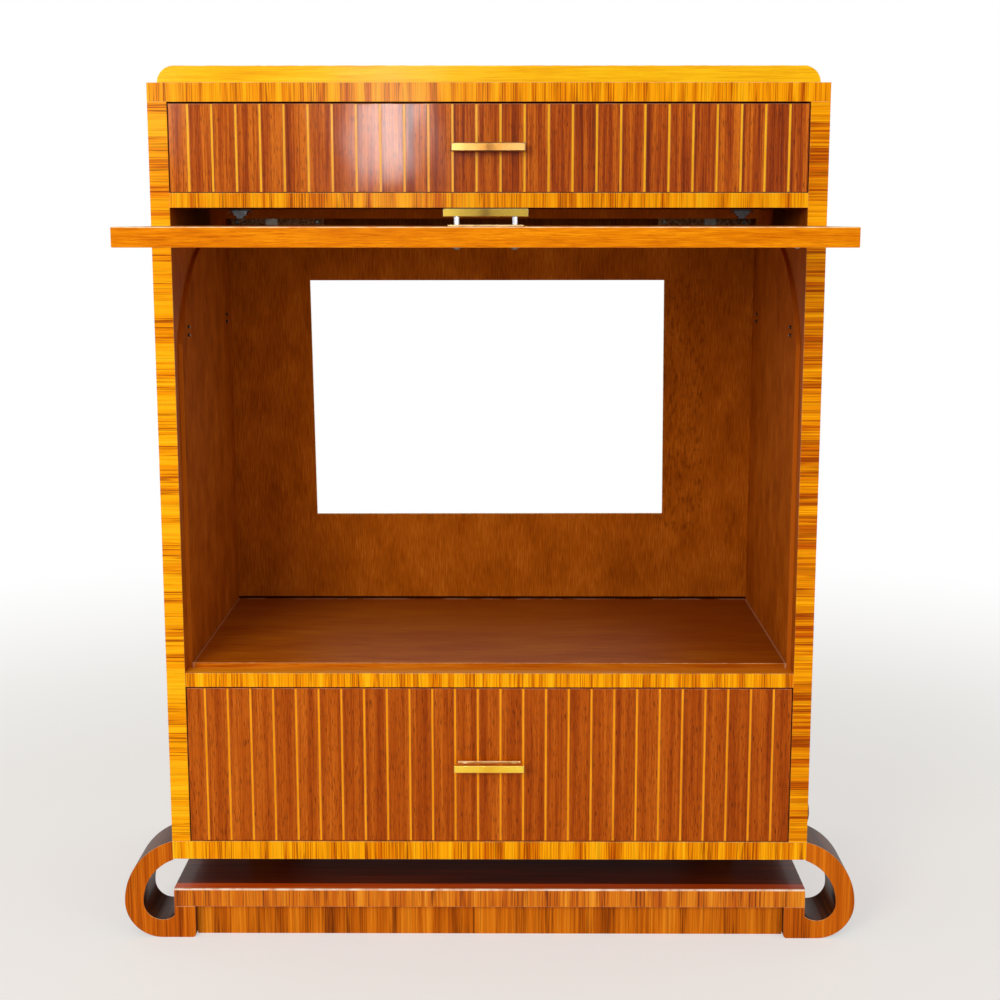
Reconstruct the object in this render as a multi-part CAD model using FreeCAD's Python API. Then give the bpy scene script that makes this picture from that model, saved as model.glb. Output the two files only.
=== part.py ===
"""Art Deco radio and phonograph cabinet, modelled piece by piece.

Millimetres, +Z up, front towards -Y.  While it is being built the cabinet's
front plane is Y = 0, X = 0 is the middle and Z = 0 is the floor.  At export
everything is shifted along Y so that the origin is the bottom centre of the
whole object with its flap out.

The rest pose has both drawers shut and the flap raised level and pushed back.
The flap and its carriage are drawn shut first, then carried to the rest pose.
"""
import FreeCAD, Part
import math
import os

# ---------------------------------------------------------------- carcass
carcass_w = 880.0            # over the side panels
carcass_d = 435.0            # front plane to back
side_t = 25.0                # side panels, and the stiles on their front edges
top_t = 24.0
upper_divider_t = 19.0
lower_divider_t = 19.5
bottom_t = 25.5
lipping_t = 3.0              # cross-banded strips on every front edge
housing_depth = 6.0          # dividers are let into the side panels
cap_inset = 13.5             # cap is narrower than the top on each side
cap_h = 21.5                 # and its ends are full quarter rounds
cap_arris_r = 1.0            # along its upper front edge

# ---------------------------------------------------------------- openings
top_drawer_opening = 115.5
compartment_h = 625.0
bottom_drawer_opening = 221.5

# ---------------------------------------------------------------- base and feet
foot_block_h = 45.5          # underside of the base board above the floor
foot_block_w = 29.0
foot_block_r = 5.0
base_board_t = 26.0
base_gap = 44.0              # open slot between base board and carcass
foot_reach = 69.0            # scroll beyond the carcass side
foot_low_r = 52.0            # outer radius where the scroll meets the floor
foot_band = 26.0             # thickness of the bent scroll
foot_d = 80.0
plinth_recess = 14.0
plinth_t = 18.0
spacer_w = 40.0
spacer_from_side = 105.0     # carcass side to the middle of each spacer rail
spacer_front = 130.0
spacer_back_inset = 40.0
base_arris_r = 2.6           # along the base board's upper front edge

# ---------------------------------------------------------------- back and inside
back_t = 5.0
back_rebate = 10.0
back_fit = 0.5
cutout_left = 130.0          # hand-sawn hole in the back: wood left at each side,
cutout_right = 145.0
cutout_top = 109.0           # under the ceiling
cutout_bottom = 144.5        # and over the lower divider
cutout_skew_left = 5.0       # its corners are out of square by these
cutout_skew_right = -2.5
cutout_skew_up = 0.5
cutout_skew_down = 1.0
shelf_floor_t = 7.0
shelf_fit = 0.2              # floor panel between the wall linings
stop_setback = 28.5          # rebate that the shut flap closes into
lining_t = 5.5
hole_r = 2.0                 # old fixing holes through the side linings
hole_pitch = 11.0
hole_drop = 164.5            # middle of each pair under the ceiling
hole_front_y = 70.0
hole_from_back = 50.0

# ---------------------------------------------------------------- drawers
front_t = 19.0
front_inset = 2.0
drawer_side_gap = 1.5
drawer_top_gap = 2.5
drawer_bottom_gap = 1.0
drawer_run_gap = 0.3         # sides above the divider they slide on
drawer_back_room = 20.0
drawer_side_t = 12.0
drawer_side_drop = 12.0      # drawer sides stop this far under the opening's top
drawer_back_t = 12.0
drawer_back_drop = 8.0
drawer_bottom_t = 5.0
drawer_bottom_z = 12.0
drawer_groove = 5.0
drawer_lap = 10.0
stop_w = 30.0
stop_d = 12.0
stop_h = 8.0
stop_from_side = 165.0       # opening's side to the middle of each stop
stop_gap = 0.3

# ---------------------------------------------------------------- inlay and handles
inlay_count = 26
inlay_margin = 26.1          # opening's side to the middle of the outermost strip
inlay_w = 3.3
inlay_depth = 1.2
handle_l = 96.0
handle_h = 11.3
handle_t = 9.3
handle_bevel = 1.2
handle_stand = 9.3
plate_l = 86.0
plate_h = 11.0
plate_t = 2.0
post_r = 3.2
post_pitch = 66.0
screw_r = 2.0
screw_grip = 6.0
washer_r = 6.2
washer_t = 1.0
head_r = 4.2
head_t = 2.2

# ---------------------------------------------------------------- flap and carriage
flap_t = 22.7
flap_side_gap = 2.0
flap_bottom_gap = 2.0
flap_inset = 1.5
flap_head_room = 23.2        # ceiling to the raised flap's top face
flap_tail = 32.0             # pivot to the flap's upper edge
flap_reach = 340.3           # raised flap stands out this far from the front
flap_lipping_t = 3.0
glue_line = 0.05             # where its side strips meet the lower one
flap_arris_r = 1.2
flap_handle_up = 55.0        # handle above the lower edge of the shut flap
catch_from_side = 67.0
catch_up = 15.0
catch_r = 3.0
catch_h = 1.5
pin_r = 2.5
pin_seat = 20.0              # length of pin in the wood on each side of an arm
pin_fit = 0.02
pin_run = 0.06
arm_from_end = 67.0          # bar's end to the middle of the arm
arm_w = 18.0
arm_h = 10.0
arm_eye_r = 6.5
arm_slot_gap = 0.5
bar_end_gap = 25.0           # bar's end to the side of the opening
bar_t = 18.0
bar_behind = 38.0            # pivot to the bar's front face
bar_drop = 20.0
bar_rise = 9.5               # bar's top above the raised flap's top face
arm_plate_t = 2.0
outer_plate_l = 50.0
inner_plate_l = 68.0
bracket_from_end = 20.5      # bar's end to the middle of the glide
bracket_top = 24.5           # width of the tapered metal block under its pad
bracket_low = 17.5           # and at its foot, above the stem
bracket_foot_r = 2.5
bracket_stem = 10.0
bracket_stem_h = 4.3
bracket_d = 14.0
pad_t = 1.6                  # folded pad: a flat crown between two flared flanges
pad_flare = 4.0
pad_flange_h = 5.0
ceiling_gap = 0.3
groove_depth = 8.0
shoe_h = 12.0
shoe_gap = 0.3
shoe_ahead = 20.0            # shoe's front end behind the pivot
shoe_l = 56.0
relief_drop = 145.0          # swing relief in the side linings, below the pivot
relief_rise = 58.0           # and at the middle point of its curve
relief_mid_y = 103.0
relief_run_out = 5.0         # curve ends this far behind the rest pivot

# ---------------------------------------------------------------- modelling
over = 1.0                   # cutters run this far past a face
hair = 1e-6                  # two places nearer than this are the same

# ---------------------------------------------------------------- worked out
half_w = carcass_w / 2
open_half = half_w - side_t
z_base_board = foot_block_h
z_slot = z_base_board + base_board_t
z_bottom = z_slot + base_gap
z_low_drawer = z_bottom + bottom_t
z_low_divider = z_low_drawer + bottom_drawer_opening
z_compartment = z_low_divider + lower_divider_t
z_ceiling = z_compartment + compartment_h
z_top_drawer = z_ceiling + upper_divider_t
z_top = z_top_drawer + top_drawer_opening
z_cap = z_top + top_t
z_shelf = z_compartment + shelf_floor_t
inner_d = carcass_d - back_t
spacer_x = half_w - spacer_from_side
stop_x = open_half - stop_from_side
inlay_pitch = 2 * (open_half - inlay_margin) / (inlay_count - 1)
hole_z = z_ceiling - hole_drop
hole_back_y = inner_d - hole_from_back

flap_half = open_half - flap_side_gap
pivot_z = z_ceiling - flap_head_room - flap_t / 2
pivot_y = flap_inset + flap_t / 2                      # with the flap shut
flap_foot_z = z_compartment + flap_bottom_gap
flap_top_z = pivot_z + flap_tail
flap_travel = (pivot_z - flap_foot_z) - flap_reach - pivot_y
catch_x = flap_half - catch_from_side
bar_half = open_half - bar_end_gap
arm_x = bar_half - arm_from_end
bracket_x = bar_half - bracket_from_end
bar_y = pivot_y + bar_behind
bar_top = pivot_z + flap_t / 2 + bar_rise

origin_y = (carcass_d - flap_reach) / 2                # middle of the whole object
nodes = {}


# ---------------------------------------------------------------- helpers
def vec(x, y, z):
    return FreeCAD.Vector(x, y, z)


def block(x0, x1, y0, y1, z0, z1):
    return Part.makeBox(x1 - x0, y1 - y0, z1 - z0, vec(x0, y0, z0))


def rod(radius, length, start, along):
    return Part.makeCylinder(radius, length, start, along)


def mirrored(shape):
    return shape.mirror(vec(0, 0, 0), vec(1, 0, 0))


def pair(shape):
    """A solid and its mirror image on the other side of the cabinet."""
    return Part.makeCompound([shape, mirrored(shape)])


def cut_all(shape, cutters):
    for cutter in cutters:
        shape = shape.cut(cutter)
    return shape.removeSplitter()


def prism_y(points, y0, y1):
    """Extrude a closed outline of (x, z) corners along Y."""
    corners = [vec(x, y0, z) for x, z in points]
    wire = Part.makePolygon(corners + corners[:1])
    return Part.Face(wire).extrude(vec(0, y1 - y0, 0))


def arc(start, middle, end):
    return Part.Arc(start, middle, end).toShape()


def line(start, end):
    return Part.LineSegment(start, end).toShape()


def add(name, shape):
    nodes[name] = shape


# ---------------------------------------------------------------- carcass panels
def back_rebate_cut():
    return block(-open_half - back_rebate, open_half + back_rebate, inner_d, carcass_d + over,
                 z_low_drawer - back_rebate, z_top + back_rebate)


def divider(z0, thickness):
    reach = open_half + housing_depth
    return block(-reach, reach, lipping_t, inner_d, z0, z0 + thickness)


def flap_groove():
    """Stopped groove in the right side panel for the carriage's guide shoe."""
    start = pivot_y + shoe_ahead - shoe_gap
    end = pivot_y + flap_travel + shoe_ahead + shoe_l + shoe_gap
    half = shoe_h / 2 + shoe_gap
    return block(open_half, open_half + groove_depth, start, end, pivot_z - half, pivot_z + half)


def old_holes():
    """Two pairs of small holes through the right side lining."""
    holes = []
    for y in (hole_front_y, hole_back_y):
        for z in (hole_z - hole_pitch / 2, hole_z + hole_pitch / 2):
            holes.append(rod(hole_r, lining_t, vec(open_half - lining_t, y, z), vec(1, 0, 0)))
    return holes


def make_side_panels():
    panel = block(open_half, half_w, lipping_t, carcass_d, z_low_drawer, z_top)
    cutters = [divider(z_ceiling, upper_divider_t), divider(z_low_divider, lower_divider_t),
               back_rebate_cut(), flap_groove()]
    panel = cut_all(panel, cutters)
    add("right_side_panel", panel)
    add("left_side_panel", mirrored(panel))


def make_boards():
    top = block(-half_w, half_w, lipping_t, carcass_d, z_top, z_cap)
    bottom = block(-half_w, half_w, lipping_t, carcass_d, z_bottom, z_low_drawer)
    add("top_panel", cut_all(top, [back_rebate_cut()]))
    add("bottom_panel", cut_all(bottom, [back_rebate_cut()]))
    add("upper_divider", divider(z_ceiling, upper_divider_t))
    add("lower_divider", divider(z_low_divider, lower_divider_t))
    floor_half = open_half - lining_t - shelf_fit
    add("shelf_floor", block(-floor_half, floor_half, stop_setback, inner_d, z_compartment, z_shelf))


def make_top_cap():
    """Low cap on the top panel; each end is a quarter round."""
    end = half_w - cap_inset
    flat = end - cap_h
    rise = cap_h * math.sin(math.radians(45))
    low, high = z_cap, z_cap + cap_h
    edges = [line(vec(-end, 0, low), vec(end, 0, low)),
             arc(vec(end, 0, low), vec(flat + rise, 0, low + rise), vec(flat, 0, high)),
             line(vec(flat, 0, high), vec(-flat, 0, high)),
             arc(vec(-flat, 0, high), vec(-flat - rise, 0, low + rise), vec(-end, 0, low))]
    cap = Part.Face(Part.Wire(edges)).extrude(vec(0, carcass_d, 0))
    arris = [edge for edge in cap.Edges if edge.BoundBox.YMax < hair and edge.BoundBox.ZMin > high - hair]
    add("top_cap", cap.makeFillet(cap_arris_r, arris))


def make_lippings():
    """Cross-banded strips that cover the front edges of the boards."""
    stile = block(open_half, half_w, 0, lipping_t, z_low_drawer, z_top)
    add("stile_lippings", pair(stile))
    add("top_edge_lipping", block(-half_w, half_w, 0, lipping_t, z_top, z_cap))
    upper = block(-open_half, open_half, 0, lipping_t, z_ceiling, z_top_drawer)
    lower = block(-open_half, open_half, 0, lipping_t, z_low_divider, z_compartment)
    add("divider_lippings", Part.makeCompound([upper, lower]))
    add("bottom_edge_lipping", block(-half_w, half_w, 0, lipping_t, z_bottom, z_low_drawer))


def make_side_linings():
    """Thin wall linings: the shut flap stops on their front edges, and their
    tops lie just under the raised flap.  The curved corner lets it swing."""
    high = pivot_z - flap_t / 2 - ceiling_gap
    end_y = pivot_y + flap_travel + relief_run_out
    x = open_half - lining_t
    foot = vec(x, stop_setback, z_compartment)
    start = vec(x, stop_setback, pivot_z - relief_drop)
    middle = vec(x, relief_mid_y, pivot_z - relief_rise)
    edges = [line(foot, start), arc(start, middle, vec(x, end_y, high)),
             line(vec(x, end_y, high), vec(x, inner_d, high)),
             line(vec(x, inner_d, high), vec(x, inner_d, z_compartment)),
             line(vec(x, inner_d, z_compartment), foot)]
    lining = Part.Face(Part.Wire(edges)).extrude(vec(lining_t, 0, 0))
    lining = cut_all(lining, old_holes())
    add("right_side_lining", lining)
    add("left_side_lining", mirrored(lining))


def make_back():
    reach = open_half + back_rebate - back_fit
    low = z_low_drawer - back_rebate + back_fit
    high = z_top + back_rebate - back_fit
    panel = block(-reach, reach, inner_d, carcass_d, low, high)
    left, right = -open_half + cutout_left, open_half - cutout_right
    top, foot = z_ceiling - cutout_top, z_compartment + cutout_bottom
    outline = [(left, top), (right, top + cutout_skew_up),
               (right - cutout_skew_right, foot + cutout_skew_down), (left + cutout_skew_left, foot)]
    add("back_panel", cut_all(panel, [prism_y(outline, inner_d - over, carcass_d + over)]))


# ---------------------------------------------------------------- base
def foot_outline():
    """Closed outline of the right-hand scroll foot in the plane Y = 0.

    Two tangent arcs make the outside, concentric ones make the inside, and
    the lower end runs into a square block under the base board."""
    low_x = half_w + foot_reach - foot_low_r
    rise = z_low_drawer - foot_low_r
    high_r = (foot_reach ** 2 + rise ** 2) / (2 * foot_reach)
    high_x = half_w + foot_reach - high_r
    inner_high_r = high_r - foot_band
    inner_low_r = foot_low_r - foot_band
    block_x = half_w - foot_block_w

    def on_circle(cx, radius, angle):
        return vec(cx + radius * math.cos(angle), 0, foot_low_r + radius * math.sin(angle))

    top_angle = math.acos((half_w - high_x) / high_r)
    inner_top_angle = math.acos((half_w - high_x) / inner_high_r)
    inner_end_angle = -math.acos((half_w - low_x) / inner_low_r)
    outer_top = on_circle(high_x, high_r, top_angle)
    inner_top = on_circle(high_x, inner_high_r, inner_top_angle)
    inner_end = on_circle(low_x, inner_low_r, inner_end_angle)
    outer_mid = on_circle(high_x, high_r, 0)
    inner_mid = on_circle(high_x, inner_high_r, 0)
    floor_point = on_circle(low_x, foot_low_r, -math.pi / 2)
    corner = foot_block_r * (1 - math.sin(math.radians(45)))
    return [
        line(vec(block_x + foot_block_r, 0, 0), floor_point),
        arc(floor_point, on_circle(low_x, foot_low_r, -math.pi / 4), outer_mid),
        arc(outer_mid, on_circle(high_x, high_r, top_angle / 2), outer_top),
        line(outer_top, inner_top),
        arc(inner_top, on_circle(high_x, inner_high_r, inner_top_angle / 2), inner_mid),
        arc(inner_mid, on_circle(low_x, inner_low_r, inner_end_angle / 2), inner_end),
        line(inner_end, vec(half_w, 0, foot_block_h)),
        line(vec(half_w, 0, foot_block_h), vec(block_x, 0, foot_block_h)),
        line(vec(block_x, 0, foot_block_h), vec(block_x, 0, foot_block_r)),
        arc(vec(block_x, 0, foot_block_r), vec(block_x + corner, 0, corner),
            vec(block_x + foot_block_r, 0, 0)),
    ]


def make_feet():
    foot = Part.Face(Part.Wire(foot_outline())).extrude(vec(0, foot_d, 0))
    rear = foot.copy()
    rear.translate(vec(0, carcass_d - foot_d, 0))
    add("right_front_foot", foot)
    add("left_front_foot", mirrored(foot))
    add("right_rear_foot", rear)
    add("left_rear_foot", mirrored(rear))


def make_base():
    lipping = block(-half_w, half_w, 0, lipping_t, z_base_board, z_slot)
    arris = [edge for edge in lipping.Edges
             if edge.BoundBox.YMax < hair and edge.BoundBox.ZMin > z_slot - hair]
    add("base_board_lipping", lipping.makeFillet(base_arris_r, arris))
    add("base_board", block(-half_w, half_w, lipping_t, carcass_d, z_base_board, z_slot))

    run = half_w - foot_block_w
    front = block(-run, run, plinth_recess, plinth_recess + plinth_t, 0, foot_block_h)
    back = block(-run, run, carcass_d - plinth_recess - plinth_t, carcass_d - plinth_recess, 0, foot_block_h)
    side = block(run - plinth_t, run, plinth_recess + plinth_t, carcass_d - plinth_recess - plinth_t,
                 0, foot_block_h)
    add("plinth_front", front)
    add("plinth_sides_and_back", Part.makeCompound([back, side, mirrored(side)]))

    rail = block(spacer_x - spacer_w / 2, spacer_x + spacer_w / 2, spacer_front,
                 carcass_d - spacer_back_inset, z_slot, z_bottom)
    add("spacer_rails", pair(rail))


# ---------------------------------------------------------------- inlay and handles
def inlay_strips(face_y, z0, z1):
    """Vertical strips let in flush with a face that looks towards -Y."""
    strips = []
    for i in range(inlay_count):
        x = (i - (inlay_count - 1) / 2) * inlay_pitch
        strips.append(block(x - inlay_w / 2, x + inlay_w / 2, face_y, face_y + inlay_depth, z0, z1))
    return strips


def handle_pieces(face_y, z, panel_t):
    """Bar, two posts, backing plate and two screws for a face towards -Y."""
    plate_y = face_y - plate_t
    bar_back = plate_y - handle_stand
    bar = block(-handle_l / 2, handle_l / 2, bar_back - handle_t, bar_back, z - handle_h / 2, z + handle_h / 2)
    front_edges = [edge for edge in bar.Edges if edge.BoundBox.YMax < bar_back - handle_t + hair]
    bar = bar.makeChamfer(handle_bevel, front_edges)
    plate = block(-plate_l / 2, plate_l / 2, plate_y, face_y, z - plate_h / 2, z + plate_h / 2)
    posts = []
    screws = []
    holes = []
    inside = face_y + panel_t
    screw_l = panel_t + plate_t + screw_grip
    for x in (-post_pitch / 2, post_pitch / 2):
        tip = vec(x, plate_y - screw_grip, z)
        hole = rod(screw_r + pin_fit, screw_l, tip, vec(0, 1, 0))
        posts.append(rod(post_r, handle_stand, vec(x, bar_back, z), vec(0, 1, 0)).cut(hole))
        shank = rod(screw_r, screw_l, tip, vec(0, 1, 0))
        washer = rod(washer_r, washer_t, vec(x, inside, z), vec(0, 1, 0))
        head = Part.makeCone(head_r, head_r / 2, head_t, vec(x, inside + washer_t, z), vec(0, 1, 0))
        screws.append(shank.fuse([washer, head]).removeSplitter())
        holes.append(hole)
    return {"bar": bar, "plate": cut_all(plate, holes), "posts": Part.makeCompound(posts),
            "screws": Part.makeCompound(screws), "holes": holes}


# ---------------------------------------------------------------- drawers
def make_drawer(name, z0, opening):
    half = open_half - drawer_side_gap
    low = z0 + drawer_bottom_gap
    high = z0 + opening - drawer_top_gap
    rear = inner_d - drawer_back_room
    side_top = z0 + opening - drawer_side_drop
    inner_half = half - drawer_side_t
    bottom_low = z0 + drawer_bottom_z
    bottom_high = bottom_low + drawer_bottom_t

    front = block(-half, half, front_inset, front_inset + front_t, low, high)
    side = block(inner_half, half, front_inset + front_t - drawer_lap, rear, z0 + drawer_run_gap, side_top)
    back = block(-inner_half, inner_half, rear - drawer_back_t, rear, bottom_high, side_top - drawer_back_drop)
    bottom = block(-inner_half - drawer_groove, inner_half + drawer_groove,
                   front_inset + front_t - drawer_groove, rear, bottom_low, bottom_high)
    strips = inlay_strips(front_inset, low, high)
    handle = handle_pieces(front_inset, z0 + opening / 2, front_t)

    add(name + "_front", cut_all(front, [side, mirrored(side), bottom] + strips + handle["holes"]))
    add(name + "_inlays", Part.makeCompound([cut_all(strip, handle["holes"]) for strip in strips]))
    add(name + "_sides", pair(cut_all(side, [bottom])))
    add(name + "_back", back)
    add(name + "_bottom", bottom)
    add(name + "_handle_bar", handle["bar"])
    add(name + "_handle_plate", handle["plate"])
    add(name + "_handle_posts", handle["posts"])
    add(name + "_handle_screws", handle["screws"])


def make_drawer_stops():
    stops = []
    y = front_inset + front_t + stop_gap
    for z in (z_low_drawer, z_top_drawer):
        stop = block(stop_x - stop_w / 2, stop_x + stop_w / 2, y, y + stop_d, z, z + stop_h)
        stops += [stop, mirrored(stop)]
    add("drawer_stops", Part.makeCompound(stops))


# ---------------------------------------------------------------- flap
def raised(shape):
    """Carry a piece of the shut flap to the raised and pushed-back pose."""
    moved = shape.copy()
    moved.rotate(vec(0, pivot_y, pivot_z), vec(1, 0, 0), -90)
    moved.translate(vec(0, flap_travel, 0))
    return moved


def pushed_back(shape):
    """Carry a piece of the carriage from the shut pose to the rest pose."""
    moved = shape.copy()
    moved.translate(vec(0, flap_travel, 0))
    return moved


def arm_slot():
    """Slot in the flap's inner face and upper edge for the right pivot arm."""
    half = arm_w / 2 + arm_slot_gap
    gap = arm_eye_r + arm_slot_gap
    return block(arm_x - half, arm_x + half, pivot_y - gap, flap_inset + flap_t + over,
                 pivot_z - gap, flap_top_z + over)


def pivot_pin(radius, extra):
    """Right-hand pin, across the arm slot and into the wood on both sides."""
    half = arm_w / 2 + arm_slot_gap + pin_seat + extra
    return rod(radius, 2 * half, vec(arm_x - half, pivot_y, pivot_z), vec(1, 0, 0))


def make_flap():
    inner = flap_half - flap_lipping_t
    face_low = flap_foot_z + flap_lipping_t
    back_y = flap_inset + flap_t
    whole = block(-flap_half, flap_half, flap_inset, back_y, flap_foot_z, flap_top_z)
    rim = [edge for edge in whole.Edges
           if edge.BoundBox.YLength < hair and edge.BoundBox.ZMin < flap_top_z - hair]
    whole = whole.makeFillet(flap_arris_r, rim)
    panel = block(-inner, inner, flap_inset, back_y, face_low, flap_top_z)
    strips = inlay_strips(flap_inset, face_low, flap_top_z)
    handle = handle_pieces(flap_inset, flap_foot_z + flap_handle_up, flap_t)
    slot = arm_slot()
    bore = pivot_pin(pin_r + pin_fit, 0)
    cutters = strips + handle["holes"] + [slot, mirrored(slot), bore, mirrored(bore)]
    lower = whole.common(block(-flap_half, flap_half, flap_inset, back_y, flap_foot_z, face_low))
    edge = whole.common(block(inner, flap_half, flap_inset, back_y, face_low + glue_line, flap_top_z))
    catch_place = vec(catch_x, back_y, flap_foot_z + catch_up)
    stud = Part.makeCone(catch_r, catch_r / 2, catch_h, catch_place, vec(0, 1, 0))

    add("flap_panel", raised(cut_all(panel, cutters)))
    add("flap_inlays", raised(Part.makeCompound([cut_all(strip, handle["holes"]) for strip in strips])))
    add("flap_lippings", raised(Part.makeCompound([lower, edge, mirrored(edge)])))
    add("flap_handle_bar", raised(handle["bar"]))
    add("flap_handle_plate", raised(handle["plate"]))
    add("flap_handle_posts", raised(handle["posts"]))
    add("flap_handle_screws", raised(handle["screws"]))
    add("flap_catch_stud", raised(stud))
    add("flap_pivot_pins", raised(pair(pivot_pin(pin_r, 0))))


# ---------------------------------------------------------------- carriage
def make_arms():
    """Steel arms, each an eye on the pivot pin, a shank and an upright foot."""
    x0, x1 = arm_x - arm_w / 2, arm_x + arm_w / 2
    low, high = pivot_z - arm_h / 2, pivot_z + arm_h / 2
    eye = rod(arm_eye_r, arm_w, vec(x0, pivot_y, pivot_z), vec(1, 0, 0))
    shank = block(x0, x1, pivot_y, bar_y, low, high)
    foot = block(x0, x1, bar_y - arm_plate_t, bar_y, low, bar_top)
    arm = eye.fuse([shank, foot]).cut(pivot_pin(pin_r + pin_run, 0)).removeSplitter()
    add("pivot_arms", pushed_back(pair(arm)))


def make_carriage():
    """Follower bar, with flat plates beside each arm on its front face."""
    low = pivot_z + flap_t / 2
    outer_x = arm_x + arm_w / 2
    inner_x = arm_x - arm_w / 2
    plates = []
    for x0, x1 in ((outer_x, outer_x + outer_plate_l), (inner_x - inner_plate_l, inner_x)):
        plate = block(x0, x1, bar_y - arm_plate_t, bar_y, low, bar_top)
        plates += [plate, mirrored(plate)]
    bar = block(-bar_half, bar_half, bar_y, bar_y + bar_t, pivot_z - bar_drop, bar_top)

    add("follower_bar", pushed_back(bar))
    add("arm_plates", pushed_back(Part.makeCompound(plates)))


def make_glides():
    """Tapered metal blocks on the bar, with folded pads that run under the ceiling."""
    roof = z_ceiling - ceiling_gap
    crown = roof - pad_t
    top, low, stem = bracket_top / 2, bracket_low / 2, bracket_stem / 2
    foot_z = bar_top + bracket_stem_h
    y0 = bar_y + (bar_t - bracket_d) / 2
    taper = [(-low, foot_z), (-top, crown), (top, crown), (low, foot_z)]
    body = prism_y([(bracket_x + x, z) for x, z in taper], y0, y0 + bracket_d)
    corners = [edge for edge in body.Edges
               if edge.BoundBox.ZMax < foot_z + hair and edge.BoundBox.XLength < hair]
    body = body.makeFillet(bracket_foot_r, corners)
    post = block(bracket_x - stem, bracket_x + stem, y0, y0 + bracket_d, bar_top, foot_z)

    wide = top + pad_t + pad_flare
    tip_z = roof - pad_flange_h
    fold = [(-top, roof), (top, roof), (wide, tip_z), (wide - pad_t, tip_z), (top, crown),
            (-top, crown), (-wide + pad_t, tip_z), (-wide, tip_z)]
    pad = prism_y([(bracket_x + x, z) for x, z in fold], y0, y0 + bracket_d)
    add("glide_brackets", pushed_back(pair(body.fuse(post).removeSplitter())))
    add("glide_pads", pushed_back(pair(pad)))


def make_shoes():
    """Hardwood shoes on the bar's ends that run in the side grooves."""
    reach = open_half + groove_depth - shoe_gap
    start = pivot_y + shoe_ahead
    low, high = pivot_z - shoe_h / 2, pivot_z + shoe_h / 2
    runner = block(open_half - shoe_gap, reach, start, start + shoe_l, low, high)
    neck = block(bar_half, open_half - shoe_gap, bar_y, bar_y + bar_t, low, high)
    add("guide_shoes", pushed_back(pair(runner.fuse(neck).removeSplitter())))


# ---------------------------------------------------------------- build and export
make_side_panels()
make_boards()
make_top_cap()
make_lippings()
make_side_linings()
make_back()
make_feet()
make_base()
make_drawer_stops()
make_drawer("top_drawer", z_top_drawer, top_drawer_opening)
make_drawer("bottom_drawer", z_low_drawer, bottom_drawer_opening)
make_flap()
make_arms()
make_carriage()
make_glides()
make_shoes()

os.makedirs("parts", exist_ok=True)
for node_name, node_shape in nodes.items():
    placed = node_shape.copy()
    placed.translate(vec(0, -origin_y, 0))
    placed.exportStep("parts/" + node_name + ".step")
print(len(nodes), "nodes; flap travel", round(flap_travel, 2), "pivot", round(pivot_y, 2), round(pivot_z, 2),
      "; front plane at Y", round(-origin_y, 2))
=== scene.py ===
# %% [markdown]
# # An Art Deco radio and phonograph cabinet
#
# This lesson dresses a finished CAD model: a tall veneered cabinet with two drawers, an open
# compartment under a flap that lifts up and slides back, and a base that curls out into scroll
# feet.  The CAD pieces have the real sizes and stay where they are.  What is added here is what
# the eye judges first: the figure of each veneer, its french polish, worn edges with a painted
# highlight on them, and the small hardware.

# %% Load the frame
import math

import bmesh
import bpy
from mathutils import Matrix, Vector


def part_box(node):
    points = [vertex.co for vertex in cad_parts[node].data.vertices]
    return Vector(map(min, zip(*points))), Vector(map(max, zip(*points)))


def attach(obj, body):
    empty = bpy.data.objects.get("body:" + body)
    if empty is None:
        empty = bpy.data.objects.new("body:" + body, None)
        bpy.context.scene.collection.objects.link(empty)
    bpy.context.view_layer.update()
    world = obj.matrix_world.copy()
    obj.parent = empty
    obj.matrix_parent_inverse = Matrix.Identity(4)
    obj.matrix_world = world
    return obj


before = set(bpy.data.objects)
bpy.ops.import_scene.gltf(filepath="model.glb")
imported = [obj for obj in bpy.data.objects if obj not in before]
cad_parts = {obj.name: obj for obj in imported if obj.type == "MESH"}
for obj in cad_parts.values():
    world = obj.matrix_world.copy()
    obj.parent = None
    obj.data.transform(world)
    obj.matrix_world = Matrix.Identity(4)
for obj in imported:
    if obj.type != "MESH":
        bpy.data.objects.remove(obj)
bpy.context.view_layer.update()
MM = 0.001
X, Y, Z = 0, 1, 2
print("pieces in the frame:", len(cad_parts))

# %% [markdown]
# ## Colours and nodes
#
# Colours are easiest to pick as the hex values that a colour picker shows, but a shader works in
# linear light, so one function converts them.  A second small function adds a node, sets its
# properties and plugs its sockets, which keeps each material below as short as a recipe.

# %% Two helpers


def linear(hex_colour):
    """An sRGB hex colour as the linear RGBA that a shader socket takes."""
    channels = [int(hex_colour[i:i + 2], 16) / 255 for i in (1, 3, 5)]
    straight = [c / 12.92 if c <= 0.04045 else ((c + 0.055) / 1.055) ** 2.4 for c in channels]
    return (*straight, 1.0)


def add(tree, kind, inputs=None, stops=None, **settings):
    """Add a node. Inputs are values or sockets to link; stops fill a colour ramp."""
    node = tree.nodes.new(kind)
    for name, value in settings.items():
        setattr(node, name, value)
    for name, value in (inputs or {}).items():
        if isinstance(value, bpy.types.NodeSocket):
            tree.links.new(value, node.inputs[name])
        else:
            node.inputs[name].default_value = value
    for i, (place, colour) in enumerate(stops or []):
        band = node.color_ramp.elements
        stop = band[i] if i < len(band) else band.new(place)
        stop.position = place
        stop.color = linear(colour)
    return node


def blank_material(name):
    """A new material and its node tree with only the output left in it."""
    material = bpy.data.materials.new(name)
    material.use_nodes = True
    tree = material.node_tree
    tree.nodes.clear()
    output = add(tree, "ShaderNodeOutputMaterial")
    print("material:", name)
    return material, tree, output
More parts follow.
